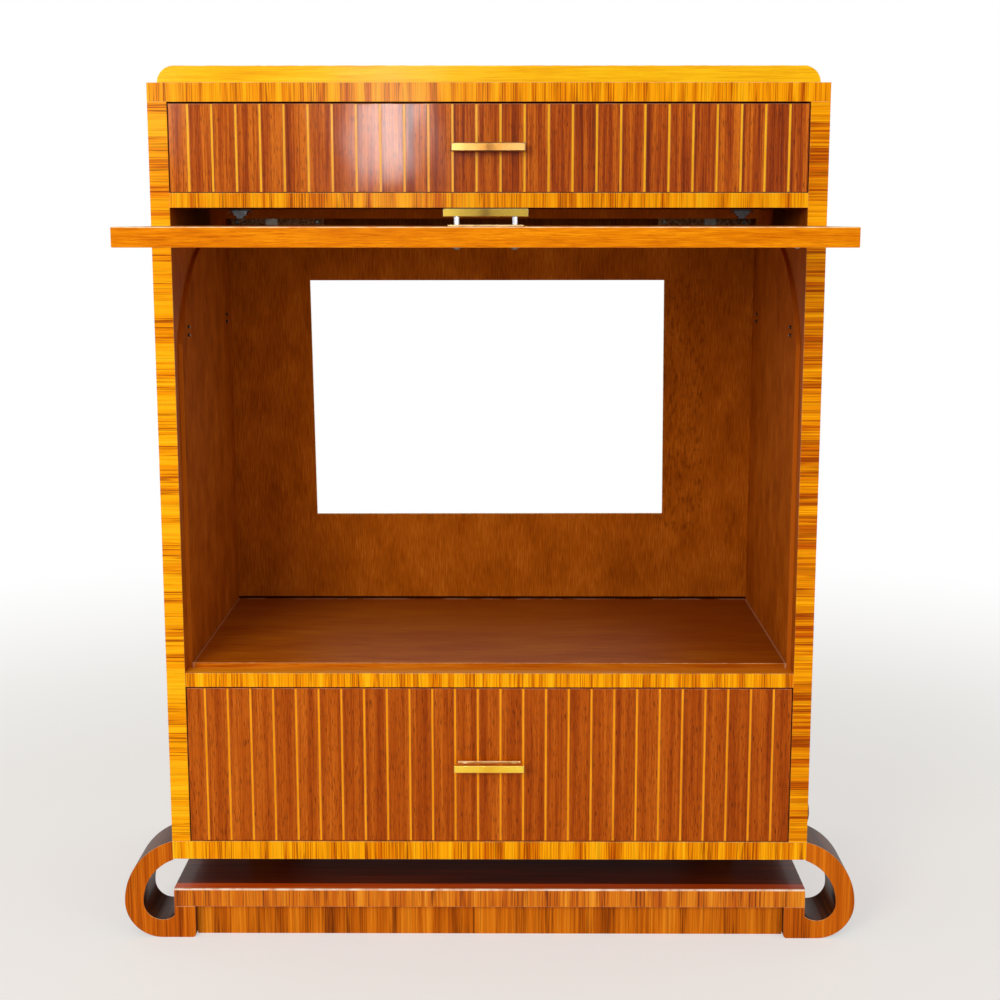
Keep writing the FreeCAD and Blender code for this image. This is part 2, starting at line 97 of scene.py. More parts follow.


# %% [markdown]
# ## Softened edges, worn and highlit
#
# No cabinet maker leaves a knife edge.  Every arris is eased with a stroke of sandpaper, and on an
# old cabinet the polish has worn off there, so a thin pale line runs round each board.  The Bevel
# node rounds the shading normal near an edge.  Where the rounded normal leaves the true one there
# is an edge, and that difference drives the pale line.  The front upper arrises get most of it:
# partly wear from hands and dusters, and partly a painted highlight where the light from above
# catches them.  There the normal points forward and up at once, so Y times Z of it is clearly
# negative.

# %% Rounded normal and edge mask
BEVEL_RAYS = 6
FLAT_FACE, FULL_ARRIS = 0.985, 0.90    # how far the rounded and the true normal agree
WEAR_PATCHES_PER_METRE = 60.0
WEAR_ON_OTHER_ARRISES = 0.3
print("patches of wear in mm:", round(1 / WEAR_PATCHES_PER_METRE / MM))


def eased_edges(tree, radius_mm):
    """Sockets: the normal with softened edges, and a mask that is 1 on the arrises."""
    rounded = add(tree, "ShaderNodeBevel", {"Radius": radius_mm * MM},
                  samples=BEVEL_RAYS).outputs["Normal"]
    flat = add(tree, "ShaderNodeNewGeometry").outputs["True Normal"]
    agree = add(tree, "ShaderNodeVectorMath", {0: rounded, 1: flat}, operation="DOT_PRODUCT")
    mask = add(tree, "ShaderNodeMapRange",
               {"Value": agree.outputs["Value"], "From Min": FLAT_FACE, "From Max": FULL_ARRIS})
    return rounded, mask.outputs["Result"]


def worn_and_highlit(tree, colour, rounded, mask, pale, amount):
    """Mix a pale tone into the arrises, broken up by a noise; on front upper ones also a painted
    highlight.
    """
    coords = add(tree, "ShaderNodeTexCoord").outputs["Object"]
    patchy = add(tree, "ShaderNodeTexNoise",
                 {"Vector": coords, "Scale": WEAR_PATCHES_PER_METRE, "Detail": 3.0}).outputs["Fac"]
    share = add(tree, "ShaderNodeMapRange", {"Value": patchy, "From Min": 0.35, "From Max": 0.6,
                                             "To Min": 0.35 * amount,
                                             "To Max": amount}).outputs["Result"]
    turned = add(tree, "ShaderNodeVectorTransform", {"Vector": rounded}, vector_type="NORMAL",
                 convert_from="WORLD", convert_to="OBJECT").outputs["Vector"]
    parts = add(tree, "ShaderNodeSeparateXYZ", {"Vector": turned}).outputs
    front_top = add(tree, "ShaderNodeMath", {0: parts["Y"], 1: parts["Z"]},
                    operation="MULTIPLY").outputs["Value"]
    # Painted highlight: the front upper arrises, where the light from above catches them, get the pale
    # tone most, on top of their wear.
    rubbed_and_lit = add(tree, "ShaderNodeMapRange",
                 {"Value": front_top, "From Min": -0.1, "From Max": -0.32}).outputs["Result"]
    little = add(tree, "ShaderNodeMath", {0: mask, 1: WEAR_ON_OTHER_ARRISES},
                 operation="MULTIPLY").outputs["Value"]
    most = add(tree, "ShaderNodeMath", {0: little, 1: rubbed_and_lit}, operation="MAXIMUM").outputs["Value"]
    factor = add(tree, "ShaderNodeMath", {0: most, 1: share}, operation="MULTIPLY").outputs["Value"]
    return add(tree, "ShaderNodeMix", {0: factor, 6: colour, 7: linear(pale)},
               data_type="RGBA").outputs[2]


# %% [markdown]
# ## Grain
#
# Veneer is wood sliced thinner than a millimetre, so all its figure lies in lines along the grain.
# A noise texture stretched hard along one axis draws such lines.  Each veneer below lays several of
# them over each other at real sizes: bands of one or two centimetres, streaks of a few millimetres,
# and the open pores, which are short dark dashes.  Pores are half a millimetre wide on the real
# wood and are drawn a little coarser, so that they still show from two metres away.

# %% Lines along the grain
PORE_WIDTH_MM, PORE_LENGTH_MM = 0.9, 14
print("pores in mm:", PORE_WIDTH_MM, "by", PORE_LENGTH_MM)


def grain_lines(tree, coords, grain, across_mm, along_mm, detail, shift=0.0):
    """Noise whose features are across_mm wide and along_mm long, with the grain along one axis."""
    scale = [1 / (across_mm * MM)] * 3
    scale[grain] = 1 / (along_mm * MM)
    placed = add(tree, "ShaderNodeMapping", {"Vector": coords, "Scale": scale, "Location": [shift] * 3})
    return add(tree, "ShaderNodeTexNoise", {"Vector": placed.outputs["Vector"], "Scale": 1.0,
                                            "Detail": detail, "Roughness": 0.55}).outputs["Fac"]


def open_pores(tree, coords, grain, shift):
    """A mask of short dashes along the grain."""
    fine = grain_lines(tree, coords, grain, PORE_WIDTH_MM, PORE_LENGTH_MM, 1, shift)
    return add(tree, "ShaderNodeMapRange",
               {"Value": fine, "From Min": 0.42, "From Max": 0.33}).outputs["Result"]


# %% [markdown]
# ## French polish
#
# Shellac is brushed and rubbed on in many thin coats.  It is amber, so the soft sheen just under
# its surface is warm, and the last rubbed skin is clear and mirrors a window faintly.  The warm
# sheen is the base layer with a tinted specular colour, and the clear skin is the coat.

# %% Polish and a plain figured wood
AMBER = "#ff9430"
SHELLAC_IOR = 1.5
WAVES_PER_METRE = 22.0
WAVE_HEIGHT = 0.25 * MM
PORE_DEPTH = 0.2 * MM
print("waves in the polish in mm:", round(1 / WAVES_PER_METRE / MM))


def polish(tree, output, colour, normal, skin, roughness, coat, coat_roughness, level=0.2):
    """Warm sheen under a clear coat; normal shapes the wood and skin shapes the coat."""
    shader = add(tree, "ShaderNodeBsdfPrincipled",
                 {"Base Color": colour, "Roughness": roughness, "Specular IOR Level": level,
                  "Specular Tint": linear(AMBER), "Normal": normal, "Coat Weight": coat,
                  "Coat Roughness": coat_roughness, "Coat IOR": SHELLAC_IOR, "Coat Normal": skin})
    tree.links.new(shader.outputs["BSDF"], output.inputs["Surface"])


def wavy_skin(tree, rounded):
    """Rubbed polish is never quite flat: low waves a few centimetres long."""
    coords = add(tree, "ShaderNodeTexCoord").outputs["Object"]
    waves = add(tree, "ShaderNodeTexNoise",
                {"Vector": coords, "Scale": WAVES_PER_METRE, "Detail": 0.0}).outputs["Fac"]
    return add(tree, "ShaderNodeBump", {"Height": waves, "Strength": 1.0, "Distance": WAVE_HEIGHT,
                                        "Normal": rounded}).outputs["Normal"]


def polished_wood(tree, output, colour, pore, edge_mm, pale, wear_and_highlight, roughness, coat, coat_roughness,
                  level=0.2):
    """The last steps that all the woods share: pale arrises with painted highlights, pores as a bump,
    and polish.
    """
    rounded, mask = eased_edges(tree, edge_mm)
    colour = worn_and_highlit(tree, colour, rounded, mask, pale, wear_and_highlight)
    bump = add(tree, "ShaderNodeBump", {"Height": pore, "Strength": 0.12, "Distance": PORE_DEPTH,
                                        "Normal": rounded}, invert=True).outputs["Normal"]
    polish(tree, output, colour, bump, wavy_skin(tree, rounded), roughness, coat, coat_roughness, level)


def long_grain(tree, coords, grain, shades, streak_mm, run_mm, band_mm, pores=0.4, shift=0.0):
    """Plain veneer cut along the grain: soft streaks, broad bands and pores."""
    bands = grain_lines(tree, coords, grain, band_mm, run_mm * 3, 2, shift + 3.1)
    streaks = grain_lines(tree, coords, grain, streak_mm, run_mm, 4, shift + 7.7)
    both = add(tree, "ShaderNodeMix", {0: 0.4, 2: streaks, 3: bands}, data_type="FLOAT").outputs[0]
    figure = add(tree, "ShaderNodeValToRGB", {"Fac": both}, stops=shades).outputs["Color"]
    pore = open_pores(tree, coords, grain, shift + 1.3)
    depth = add(tree, "ShaderNodeMath", {0: pore, 1: pores}, operation="MULTIPLY").outputs["Value"]
    colour = add(tree, "ShaderNodeMix", {0: depth, 6: figure, 7: linear(shades[0][1])},
                 data_type="RGBA").outputs[2]
    return colour, pore


# %% [markdown]
# ## Cross-banding
#
# The frame is edged with cross-banding: a striped tropical veneer laid with its grain across each
# edge, so the stiles are striped sideways and the rails upright.  Its ground runs from orange to
# gold in soft bands, and thin dark brown lines, about a millimetre wide and three apart, cross it.
# Towards the right of the cabinet the stiles and rails are painted darker, a painted shade, since
# the light comes from the left.

# %% Striped veneer
GOLD_GROUND = [(0.34, "#c85c00"), (0.44, "#ea8c00"), (0.53, "#fca804"), (0.64, "#ffbc14")]
BASE_GROUND = [(0.32, "#a84800"), (0.43, "#c86402"), (0.53, "#dc7c0c"), (0.66, "#f09a24")]
BROWN_GROUND = [(0.32, "#8a3c02"), (0.43, "#b45806"), (0.53, "#d0700c"), (0.66, "#e68c1c")]
NO_LINE, FULL_LINE = 0.455, 0.395    # the noise below which a dark line begins and is full


def cross_banding(tree, coords, grain, shades, dark, line_mm, band_mm, share, tone, shift):
    """Colour and pore mask of striped veneer; tone darkens or lightens all of it."""
    ground = grain_lines(tree, coords, grain, line_mm * 1.8, 220, 3, shift)
    bands = grain_lines(tree, coords, grain, band_mm, 400, 1, shift + 3.1)
    mixed = add(tree, "ShaderNodeMix", {0: 0.5, 2: ground, 3: bands}, data_type="FLOAT").outputs[0]
    toned = add(tree, "ShaderNodeMath", {0: mixed, 1: tone}, operation="ADD").outputs["Value"]
    figure = add(tree, "ShaderNodeValToRGB", {"Fac": toned}, stops=shades).outputs["Color"]
    lines = grain_lines(tree, coords, grain, line_mm, 110, 1, shift + 7.7)
    lines = add(tree, "ShaderNodeMath", {0: lines, 1: tone}, operation="ADD").outputs["Value"]
    drawn = add(tree, "ShaderNodeMapRange", {"Value": lines, "From Min": NO_LINE, "From Max": FULL_LINE,
                                             "To Max": share}).outputs["Result"]
    grouped = add(tree, "ShaderNodeMapRange", {"Value": bands, "From Min": 0.42, "From Max": 0.56,
                                               "To Min": 1.0, "To Max": 0.35}).outputs["Result"]
    drawn = add(tree, "ShaderNodeMath", {0: drawn, 1: grouped}, operation="MULTIPLY").outputs["Value"]
    colour = add(tree, "ShaderNodeMix", {0: drawn, 6: figure, 7: linear(dark)},
                 data_type="RGBA").outputs[2]
    return colour, drawn


def striped_veneer(name, grain, shades=GOLD_GROUND, dark="#8a3400", line_mm=1.2, band_mm=12, share=0.85,
                   tone=0.0, right_shade=0.0, shift=0.0, pale="#ffe0a4", wear_and_highlight=0.75, edge_mm=0.8,
                   coat=0.06):
    """Polished cross-banding, darkened by right_shade towards the right of the cabinet as a painted
    shade.
    """
    material, tree, output = blank_material(name)
    coords = add(tree, "ShaderNodeTexCoord").outputs["Object"]
    across = add(tree, "ShaderNodeSeparateXYZ", {"Vector": coords}).outputs["X"]
    # Painted shade: towards the right the tone falls, as less of the key light reaches there.
    tone = add(tree, "ShaderNodeMapRange", {"Value": across, "From Min": -0.4, "From Max": 0.4,
                                            "To Min": tone,
                                            "To Max": tone + right_shade}).outputs["Result"]
    colour, pore = cross_banding(tree, coords, grain, shades, dark, line_mm, band_mm, share, tone, shift)
    polished_wood(tree, output, colour, pore, edge_mm, pale, wear_and_highlight, 0.4, coat, 0.15)
    return material


# %% Cross-banding of the stiles, the rails, the base and the plinth
stile_band = striped_veneer("striped_veneer_stile", X, tone=0.015, right_shade=-0.085, shift=0.4)
rail_band = striped_veneer("striped_veneer_rail", Z, line_mm=1.3, band_mm=16, tone=-0.01,
                           right_shade=-0.01, shift=2.9)
base_band = striped_veneer("striped_veneer_base", Z, BASE_GROUND, "#742c00", 1.6, 18, shift=4.1,
                           edge_mm=1.6, pale="#ffe8d0", wear_and_highlight=0.95, coat=0.3)
plinth_band = striped_veneer("striped_veneer_plinth", Z, BROWN_GROUND, "#5c2404", 1.8, 22, 0.7,
                             shift=5.2, pale="#e0a468", wear_and_highlight=0.4)


# %% [markdown]
# ## Ribbon mahogany
#
# The drawer fronts and the flap are mahogany cut on the quarter, with its upright ribbons and open
# pores, split into 31 mm strips by boxwood stringing.  The strips came from one leaf but not side
# by side, so the figure jumps at each line.  The strip number, which is the place across divided by
# the pitch and rounded, moves the pattern along the grain and changes the tone a little.

# %% Ribbon veneer in strips
RIBBON = [(0.34, "#5c1a00"), (0.43, "#862e00"), (0.52, "#a84602"), (0.64, "#d06e10")]
CALM_RIBBON = [(0.32, "#822e00"), (0.44, "#9a3e02"), (0.54, "#ae4e06"), (0.68, "#c66412")]
PORE_BROWN = "#4c1400"
MOST_SLIDE = 5.0    # metres that one strip's figure may be moved along the grain
STRINGS = 26
inlay_low, inlay_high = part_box("top_drawer_inlays")
string_width = 3.3 * MM
pitch = (inlay_high.x - inlay_low.x - string_width) / (STRINGS - 1)
print("stringing pitch in mm:", round(pitch / MM, 2))


def ribbon_strips(tree, coords, grain, shades, lean, lift, shift):
    """Colour and pore mask of ribbon veneer in strips. Each strip is darker at its left by lean,
    and a painted light makes the left of the whole front lighter by lift."""
    across = add(tree, "ShaderNodeSeparateXYZ", {"Vector": coords}).outputs["X"]
    count = add(tree, "ShaderNodeMath", {0: across, 1: pitch}, operation="DIVIDE").outputs["Value"]
    strip = add(tree, "ShaderNodeMath", {0: count}, operation="ROUND").outputs["Value"]
    own = add(tree, "ShaderNodeTexWhiteNoise", {"W": strip}, noise_dimensions="1D").outputs["Value"]
    within = add(tree, "ShaderNodeMath", {0: count, 1: strip}, operation="SUBTRACT").outputs["Value"]
    slide = add(tree, "ShaderNodeMath", {0: own, 1: MOST_SLIDE}, operation="MULTIPLY").outputs["Value"]
    axis = "XYZ"[grain]
    along = add(tree, "ShaderNodeCombineXYZ", {axis: slide}).outputs["Vector"]
    moved = add(tree, "ShaderNodeVectorMath", {0: coords, 1: along}, operation="ADD").outputs["Vector"]
    streaks = grain_lines(tree, moved, grain, 1.3, 110, 3, shift)
    ribbons = grain_lines(tree, moved, grain, 7, 500, 1, shift + 3.1)
    both = add(tree, "ShaderNodeMix", {0: 0.5, 2: streaks, 3: ribbons}, data_type="FLOAT").outputs[0]
    tone = add(tree, "ShaderNodeMapRange",
               {"Value": own, "To Min": -0.025, "To Max": 0.025}).outputs["Result"]
    lean = add(tree, "ShaderNodeMapRange", {"Value": within, "From Min": -0.5, "From Max": 0.5,
                                            "To Min": -lean, "To Max": lean}).outputs["Result"]
    # Painted light: the left of each front is lighter, where the key light from the left falls.
    sunny = add(tree, "ShaderNodeMapRange", {"Value": across, "From Min": -0.4, "From Max": 0.2,
                                             "To Min": lift, "To Max": 0.0}).outputs["Result"]
    toned = both
    for part in (tone, lean, sunny):
        toned = add(tree, "ShaderNodeMath", {0: toned, 1: part}, operation="ADD").outputs["Value"]
    figure = add(tree, "ShaderNodeValToRGB", {"Fac": toned}, stops=shades).outputs["Color"]
    pore = open_pores(tree, moved, grain, shift + 1.3)
    depth = add(tree, "ShaderNodeMath", {0: pore, 1: 0.75}, operation="MULTIPLY").outputs["Value"]
    colour = add(tree, "ShaderNodeMix", {0: depth, 6: figure, 7: linear(PORE_BROWN)},
                 data_type="RGBA").outputs[2]
    return colour, pore


def ribbon_mahogany(name, grain, shades, lean, lift, coat, shift=0.0):
    """Polished ribbon mahogany in strips."""
    material, tree, output = blank_material(name)
    coords = add(tree, "ShaderNodeTexCoord").outputs["Object"]
    colour, pore = ribbon_strips(tree, coords, grain, shades, lean, lift, shift)
    polished_wood(tree, output, colour, pore, 1.0, "#f4b48c", 0.85, 0.5, coat, 0.09)
    return material


top_ribbon = ribbon_mahogany("ribbon_mahogany_top_drawer", Z, RIBBON, 0.04, 0.06, 0.2)
low_ribbon = ribbon_mahogany("ribbon_mahogany_low_drawer", Z, CALM_RIBBON, 0.01, 0.04, 0.12, 1.9)
flap_ribbon = ribbon_mahogany("ribbon_mahogany_flap", Y, RIBBON, 0.03, 0.0, 0.2)

# %% [markdown]
# ## Plain show woods and softwood
#
# The cap and the flap's edges are golden long grain.  The stringing is pale boxwood pressed into
# sawn grooves, and the glue that squeezed up beside it has darkened to a thin line.  The drawer
# boxes and hidden rails are plain unpolished softwood, cheaper and lighter, which the buyer never
# looked at.

# %% Plain veneer and stringing
OLD_GLUE = "#8a4208"


def plain_veneer(name, grain, shades, streak_mm, run_mm, band_mm, roughness=0.4, coat=0.15,
                 coat_roughness=0.15, pores=0.4, pale="#ffe3a0", wear_and_highlight=0.7, shift=0.0):
    """Polished plain long grain."""
    material, tree, output = blank_material(name)
    coords = add(tree, "ShaderNodeTexCoord").outputs["Object"]
    colour, pore = long_grain(tree, coords, grain, shades, streak_mm, run_mm, band_mm, pores, shift)
    polished_wood(tree, output, colour, pore, 0.9, pale, wear_and_highlight, roughness, coat, coat_roughness)
    return material


def stringing(name, grain, shades, coat):
    """A boxwood string, with the dark glue that it was bedded in as a thin line along its sides."""
    material, tree, output = blank_material(name)
    coords = add(tree, "ShaderNodeTexCoord").outputs["Object"]
    colour, pore = long_grain(tree, coords, grain, shades, 1.2, 40, 10, 0.15)
    _, glue = eased_edges(tree, 0.9)
    colour = add(tree, "ShaderNodeMix", {0: glue, 6: colour, 7: linear(OLD_GLUE)},
                 data_type="RGBA").outputs[2]
    bump = add(tree, "ShaderNodeBump", {"Height": pore, "Strength": 0.1, "Distance": PORE_DEPTH},
               invert=True)
    surface = add(tree, "ShaderNodeNewGeometry").outputs["Normal"]
    polish(tree, output, colour, bump.outputs["Normal"], wavy_skin(tree, surface), 0.4, coat, 0.15)
    return material


# %% Plain woods
FLAP_GOLD = [(0.32, "#b25400"), (0.43, "#ce6e02"), (0.54, "#dc7e04"), (0.68, "#ee940c")]
CAP_GOLD = [(0.34, "#e69a0a"), (0.45, "#f4b40e"), (0.55, "#fac214"), (0.68, "#ffd02a")]
BOXWOOD = [(0.3, "#dc9408"), (0.5, "#f4ac14"), (0.7, "#ffc028")]
DULL_BOXWOOD = [(0.3, "#d87c08"), (0.5, "#f09410"), (0.7, "#ffa81e")]
SOFTWOOD = [(0.3, "#96683a"), (0.5, "#bc8c54"), (0.7, "#d2a86e")]

flap_gold = plain_veneer("golden_long_grain", X, FLAP_GOLD, 1.4, 32, 8, coat=0.02, pores=0.5, wear_and_highlight=1.0,
                         pale="#ffe2b0")
cap_gold = plain_veneer("golden_cap_veneer", X, CAP_GOLD, 1.8, 60, 10, coat=0.06, pores=0.25,
                        pale="#fff4d0", wear_and_highlight=1.0)
inlay_wood = stringing("boxwood_stringing", Z, BOXWOOD, 0.2)
dull_inlay = stringing("aged_boxwood_stringing", Z, DULL_BOXWOOD, 0.08)
flap_inlay = stringing("boxwood_stringing_flap", Y, BOXWOOD, 0.2)
softwood = plain_veneer("plain_softwood", Y, SOFTWOOD, 3.0, 150, 24, roughness=0.7, coat=0.0, pores=0.3,
                        pale="#d8b888", wear_and_highlight=0.2)

# %% [markdown]
# ## Put on the show woods
#
# A CAD piece gets its finish when its material slots are emptied and one material goes in.  Every
# front, lipping and string is a piece of its own here, as on the real cabinet, so no finish has to
# be painted across a joint, and the meshes keep their exact sizes.

# %% Show woods on their pieces


def dress(material, *names):
    """Give CAD nodes their material; their meshes stay as they are."""
    print(material.name, "on", *names)
    for name in names:
        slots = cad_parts[name].data.materials
        slots.clear()
        slots.append(material)


dress(stile_band, "stile_lippings")
dress(rail_band, "top_edge_lipping", "divider_lippings", "bottom_edge_lipping")
dress(base_band, "base_board_lipping")
dress(plinth_band, "plinth_front", "plinth_sides_and_back")
dress(top_ribbon, "top_drawer_front")
dress(low_ribbon, "bottom_drawer_front")
dress(flap_ribbon, "flap_panel")
dress(flap_gold, "flap_lippings")
dress(cap_gold, "top_cap")
dress(inlay_wood, "top_drawer_inlays")
dress(dull_inlay, "bottom_drawer_inlays")
dress(flap_inlay, "flap_inlays")
dress(softwood, "spacer_rails", "drawer_stops", "top_drawer_sides", "top_drawer_back",
      "top_drawer_bottom", "bottom_drawer_sides", "bottom_drawer_back", "bottom_drawer_bottom")

# %% [markdown]
# ## Stained inside walls
#
# Inside, the cabinet is stained rather than figured: a fine-pored wood under a thin brown satin
# lacquer.  The thin wall linings' edge faces look forward and down into shade, so a face that
# doesn't look along X gets a lighter brown, a painted light that keeps them from showing as a
# dark line.  The satin lacquer hardly mirrors anything, so these walls get almost no specular
# reflection and no coat.

# %% Stained walls and linings
STAIN = [(0.34, "#883e04"), (0.45, "#a04e0a"), (0.55, "#b0590f"), (0.68, "#c46c1c")]
PAINTED_LIGHT_EDGE = "#b85e14"
front_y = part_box("stile_lippings")[0].y


def stained_wood(tree, coords, grain, shades=STAIN, shift=0.0):
    return long_grain(tree, coords, grain, shades, 1.6, 22, 40, 0.35, shift)


def stained_lining(name):
    material, tree, output = blank_material(name)
    source = add(tree, "ShaderNodeTexCoord")
    colour, pore = stained_wood(tree, source.outputs["Object"], Z)
    facing = add(tree, "ShaderNodeSeparateXYZ", {"Vector": source.outputs["Normal"]}).outputs["X"]
    broad = add(tree, "ShaderNodeMath", {0: facing}, operation="ABSOLUTE").outputs["Value"]
    edge = add(tree, "ShaderNodeMath", {0: broad, 1: 0.5}, operation="LESS_THAN").outputs["Value"]
    # Painted light: the linings' edge faces sit in shade, and a lighter brown evens them with the walls.
    colour = add(tree, "ShaderNodeMix", {0: edge, 6: colour, 7: linear(PAINTED_LIGHT_EDGE)},
                 data_type="RGBA").outputs[2]
    bump = add(tree, "ShaderNodeBump", {"Height": pore, "Strength": 0.1, "Distance": PORE_DEPTH},
               invert=True)
    polish(tree, output, colour, bump.outputs["Normal"], source.outputs["Normal"], 0.8, 0.0, 0.4, 0.03)
    return material


stained = plain_veneer("stained_satin_board", Z, STAIN, 1.6, 22, 40, roughness=0.7, coat=0.0,
                       coat_roughness=0.35, pores=0.35, pale="#b87030", wear_and_highlight=0.3)
dress(stained_lining("stained_satin_lining"), "left_side_lining", "right_side_lining")
dress(stained, "upper_divider", "follower_bar", "guide_shoes")

# %% [markdown]
# ## Outside and inside of one board
#
# A side panel shows striped ribbon veneer outside and brown stain inside.  Both belong to one
# board, so one material shows both and a mask picks: a face looks inwards when its normal points
# back towards the middle of the cabinet, that is, when position and normal have opposite signs.
# Only the outside got a clear skin of polish, so the same mask takes the coat off the inside.

# %% Carcass boards


def two_faced_board(name):
    material, tree, output = blank_material(name)
    source = add(tree, "ShaderNodeTexCoord")
    coords = source.outputs["Object"]
    place = add(tree, "ShaderNodeSeparateXYZ", {"Vector": coords}).outputs["X"]
    facing = add(tree, "ShaderNodeSeparateXYZ", {"Vector": source.outputs["Normal"]}).outputs["X"]
    product = add(tree, "ShaderNodeMath", {0: place, 1: facing}, operation="MULTIPLY").outputs["Value"]
    inward = add(tree, "ShaderNodeMath", {0: product, 1: -0.1}, operation="LESS_THAN").outputs["Value"]
    outside, pore = long_grain(tree, coords, Z, RIBBON, 3.0, 260, 16, 0.5, 1.0)
    inside, _ = stained_wood(tree, coords, Z)
    both = add(tree, "ShaderNodeMix", {0: inward, 6: outside, 7: inside}, data_type="RGBA").outputs[2]
    outer = add(tree, "ShaderNodeMath", {0: 1.0, 1: inward}, operation="SUBTRACT").outputs["Value"]
    shine = add(tree, "ShaderNodeMath", {0: outer, 1: 0.12}, operation="MULTIPLY").outputs["Value"]
    polished_wood(tree, output, both, pore, 0.9, "#d88a4a", 0.5, 0.55, shine, 0.2, 0.04)
    return material


dress(two_faced_board("carcass_board_veneer"), "left_side_panel", "right_side_panel", "top_panel",
      "bottom_panel")

# %% [markdown]
# ## Boards with a lighter front strip
#
# The lower divider and the base board show their upper faces.  A strip along the front is lighter.
# On the lower divider it is a solid wood edging put on before the polish.  On the base board the
# strip is a painted light, where light from above reaches in under the carcass, and the dark rest
# of its top is a painted shadow of the carcass.  On both, the strip fades to a darker colour towards
# the right, a painted shade.  The strip is wherever the place along Y is less than the strip's
# depth behind the front.

# %% Boards with a lighter front strip
SHADED_DARK_TOP = [(0.34, "#2c0a02"), (0.45, "#481404"), (0.55, "#5c1e04"), (0.68, "#7a2e0a")]
LIT_FRONT_STRIP = [(0.34, "#c44002"), (0.45, "#e05004"), (0.55, "#f06008"), (0.68, "#ff7c1c")]
LEDGE = [(0.34, "#f08004"), (0.45, "#ff9c10"), (0.55, "#ffae24"), (0.68, "#ffc048")]


def front_strip_board(name, strip_mm, strip_shades, right_side, shades, roughness, coat, coat_roughness):
    """A board with a lighter strip along its front that fades to the right_side colour, a painted shade.
    """
    material, tree, output = blank_material(name)
    coords = add(tree, "ShaderNodeTexCoord").outputs["Object"]
    place = add(tree, "ShaderNodeSeparateXYZ", {"Vector": coords}).outputs
    edged = add(tree, "ShaderNodeMath", {0: place["Y"], 1: front_y + strip_mm * MM},
                operation="LESS_THAN")
    edged = edged.outputs["Value"]
    main, pore = long_grain(tree, coords, X, shades, 3.0, 160, 40, 0.3, 2.0)
    strip, _ = long_grain(tree, coords, X, strip_shades, 1.6, 120, 10, 0.3, 5.0)
    # Painted shade: the strip fades to right_side towards the right, where less light falls.
    across = add(tree, "ShaderNodeMapRange", {"Value": place["X"], "From Min": -0.38, "From Max": 0.3,
                                              "To Max": 0.85}).outputs["Result"]
    strip = add(tree, "ShaderNodeMix", {0: across, 6: strip, 7: linear(right_side)},
                data_type="RGBA").outputs[2]
    both = add(tree, "ShaderNodeMix", {0: edged, 6: main, 7: strip}, data_type="RGBA").outputs[2]
    polished_wood(tree, output, both, pore, 0.9, "#f0b070", 0.6, roughness, coat, coat_roughness)
    return material


dress(front_strip_board("edged_divider", 28.5, LEDGE, "#dc7a10", STAIN, 0.5, 0.02, 0.2), "lower_divider")
# The base board: its front strip is a painted light, and its dark top a painted shadow under the
# carcass.
dress(front_strip_board("dark_polished_base", 20.0, LIT_FRONT_STRIP, "#b03c08", SHADED_DARK_TOP, 0.4, 0.12, 0.1),
      "base_board")

# %% [markdown]
# ## Compartment floor
#
# The compartment floor was polished and keeps a faint sheen.  It is painted darker towards the back
# and towards the right, a painted shade where less light reaches.  Its polish has flaked along the
# back and the sides, where pale wood shows as a ragged line, and a painted shade draws a dark line
# along the back where the floor meets the back panel.  These are masks on the place, measured in
# from the floor's own edges.  The front arris gets the same pale edge as the other woods, wear and
# a painted highlight.

# %% Polished floor of the compartment
FLOOR_BROWN = [(0.34, "#9e4602"), (0.45, "#b85c04"), (0.55, "#c86e0a"), (0.68, "#dc8818")]
SHADED_BACK_BROWN, SHADED_RIGHT_BROWN = "#8c4a18", "#7a2e04"
BARE_WOOD, CREASE_SHADE_COLOUR = "#e0b088", "#240a02"
FLAKES_PER_METRE = 30.0
SIDE_WEAR = (3.5 * MM, 2.0 * MM)    # how far in from the edge a mark begins and is full
REAR_WEAR = (14 * MM, 9 * MM)
REAR_CREASE_SHADE = (8 * MM, 6 * MM)
floor_low, floor_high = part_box("shelf_floor")
print("compartment floor in mm:", [round(side / MM, 1) for side in floor_high - floor_low])


def band_mask(tree, value, near, far, strength=1.0):
    """A mask that rises from 0 at near to strength at far."""
    return add(tree, "ShaderNodeMapRange", {"Value": value, "From Min": near, "From Max": far,
                                            "To Max": strength}).outputs["Result"]


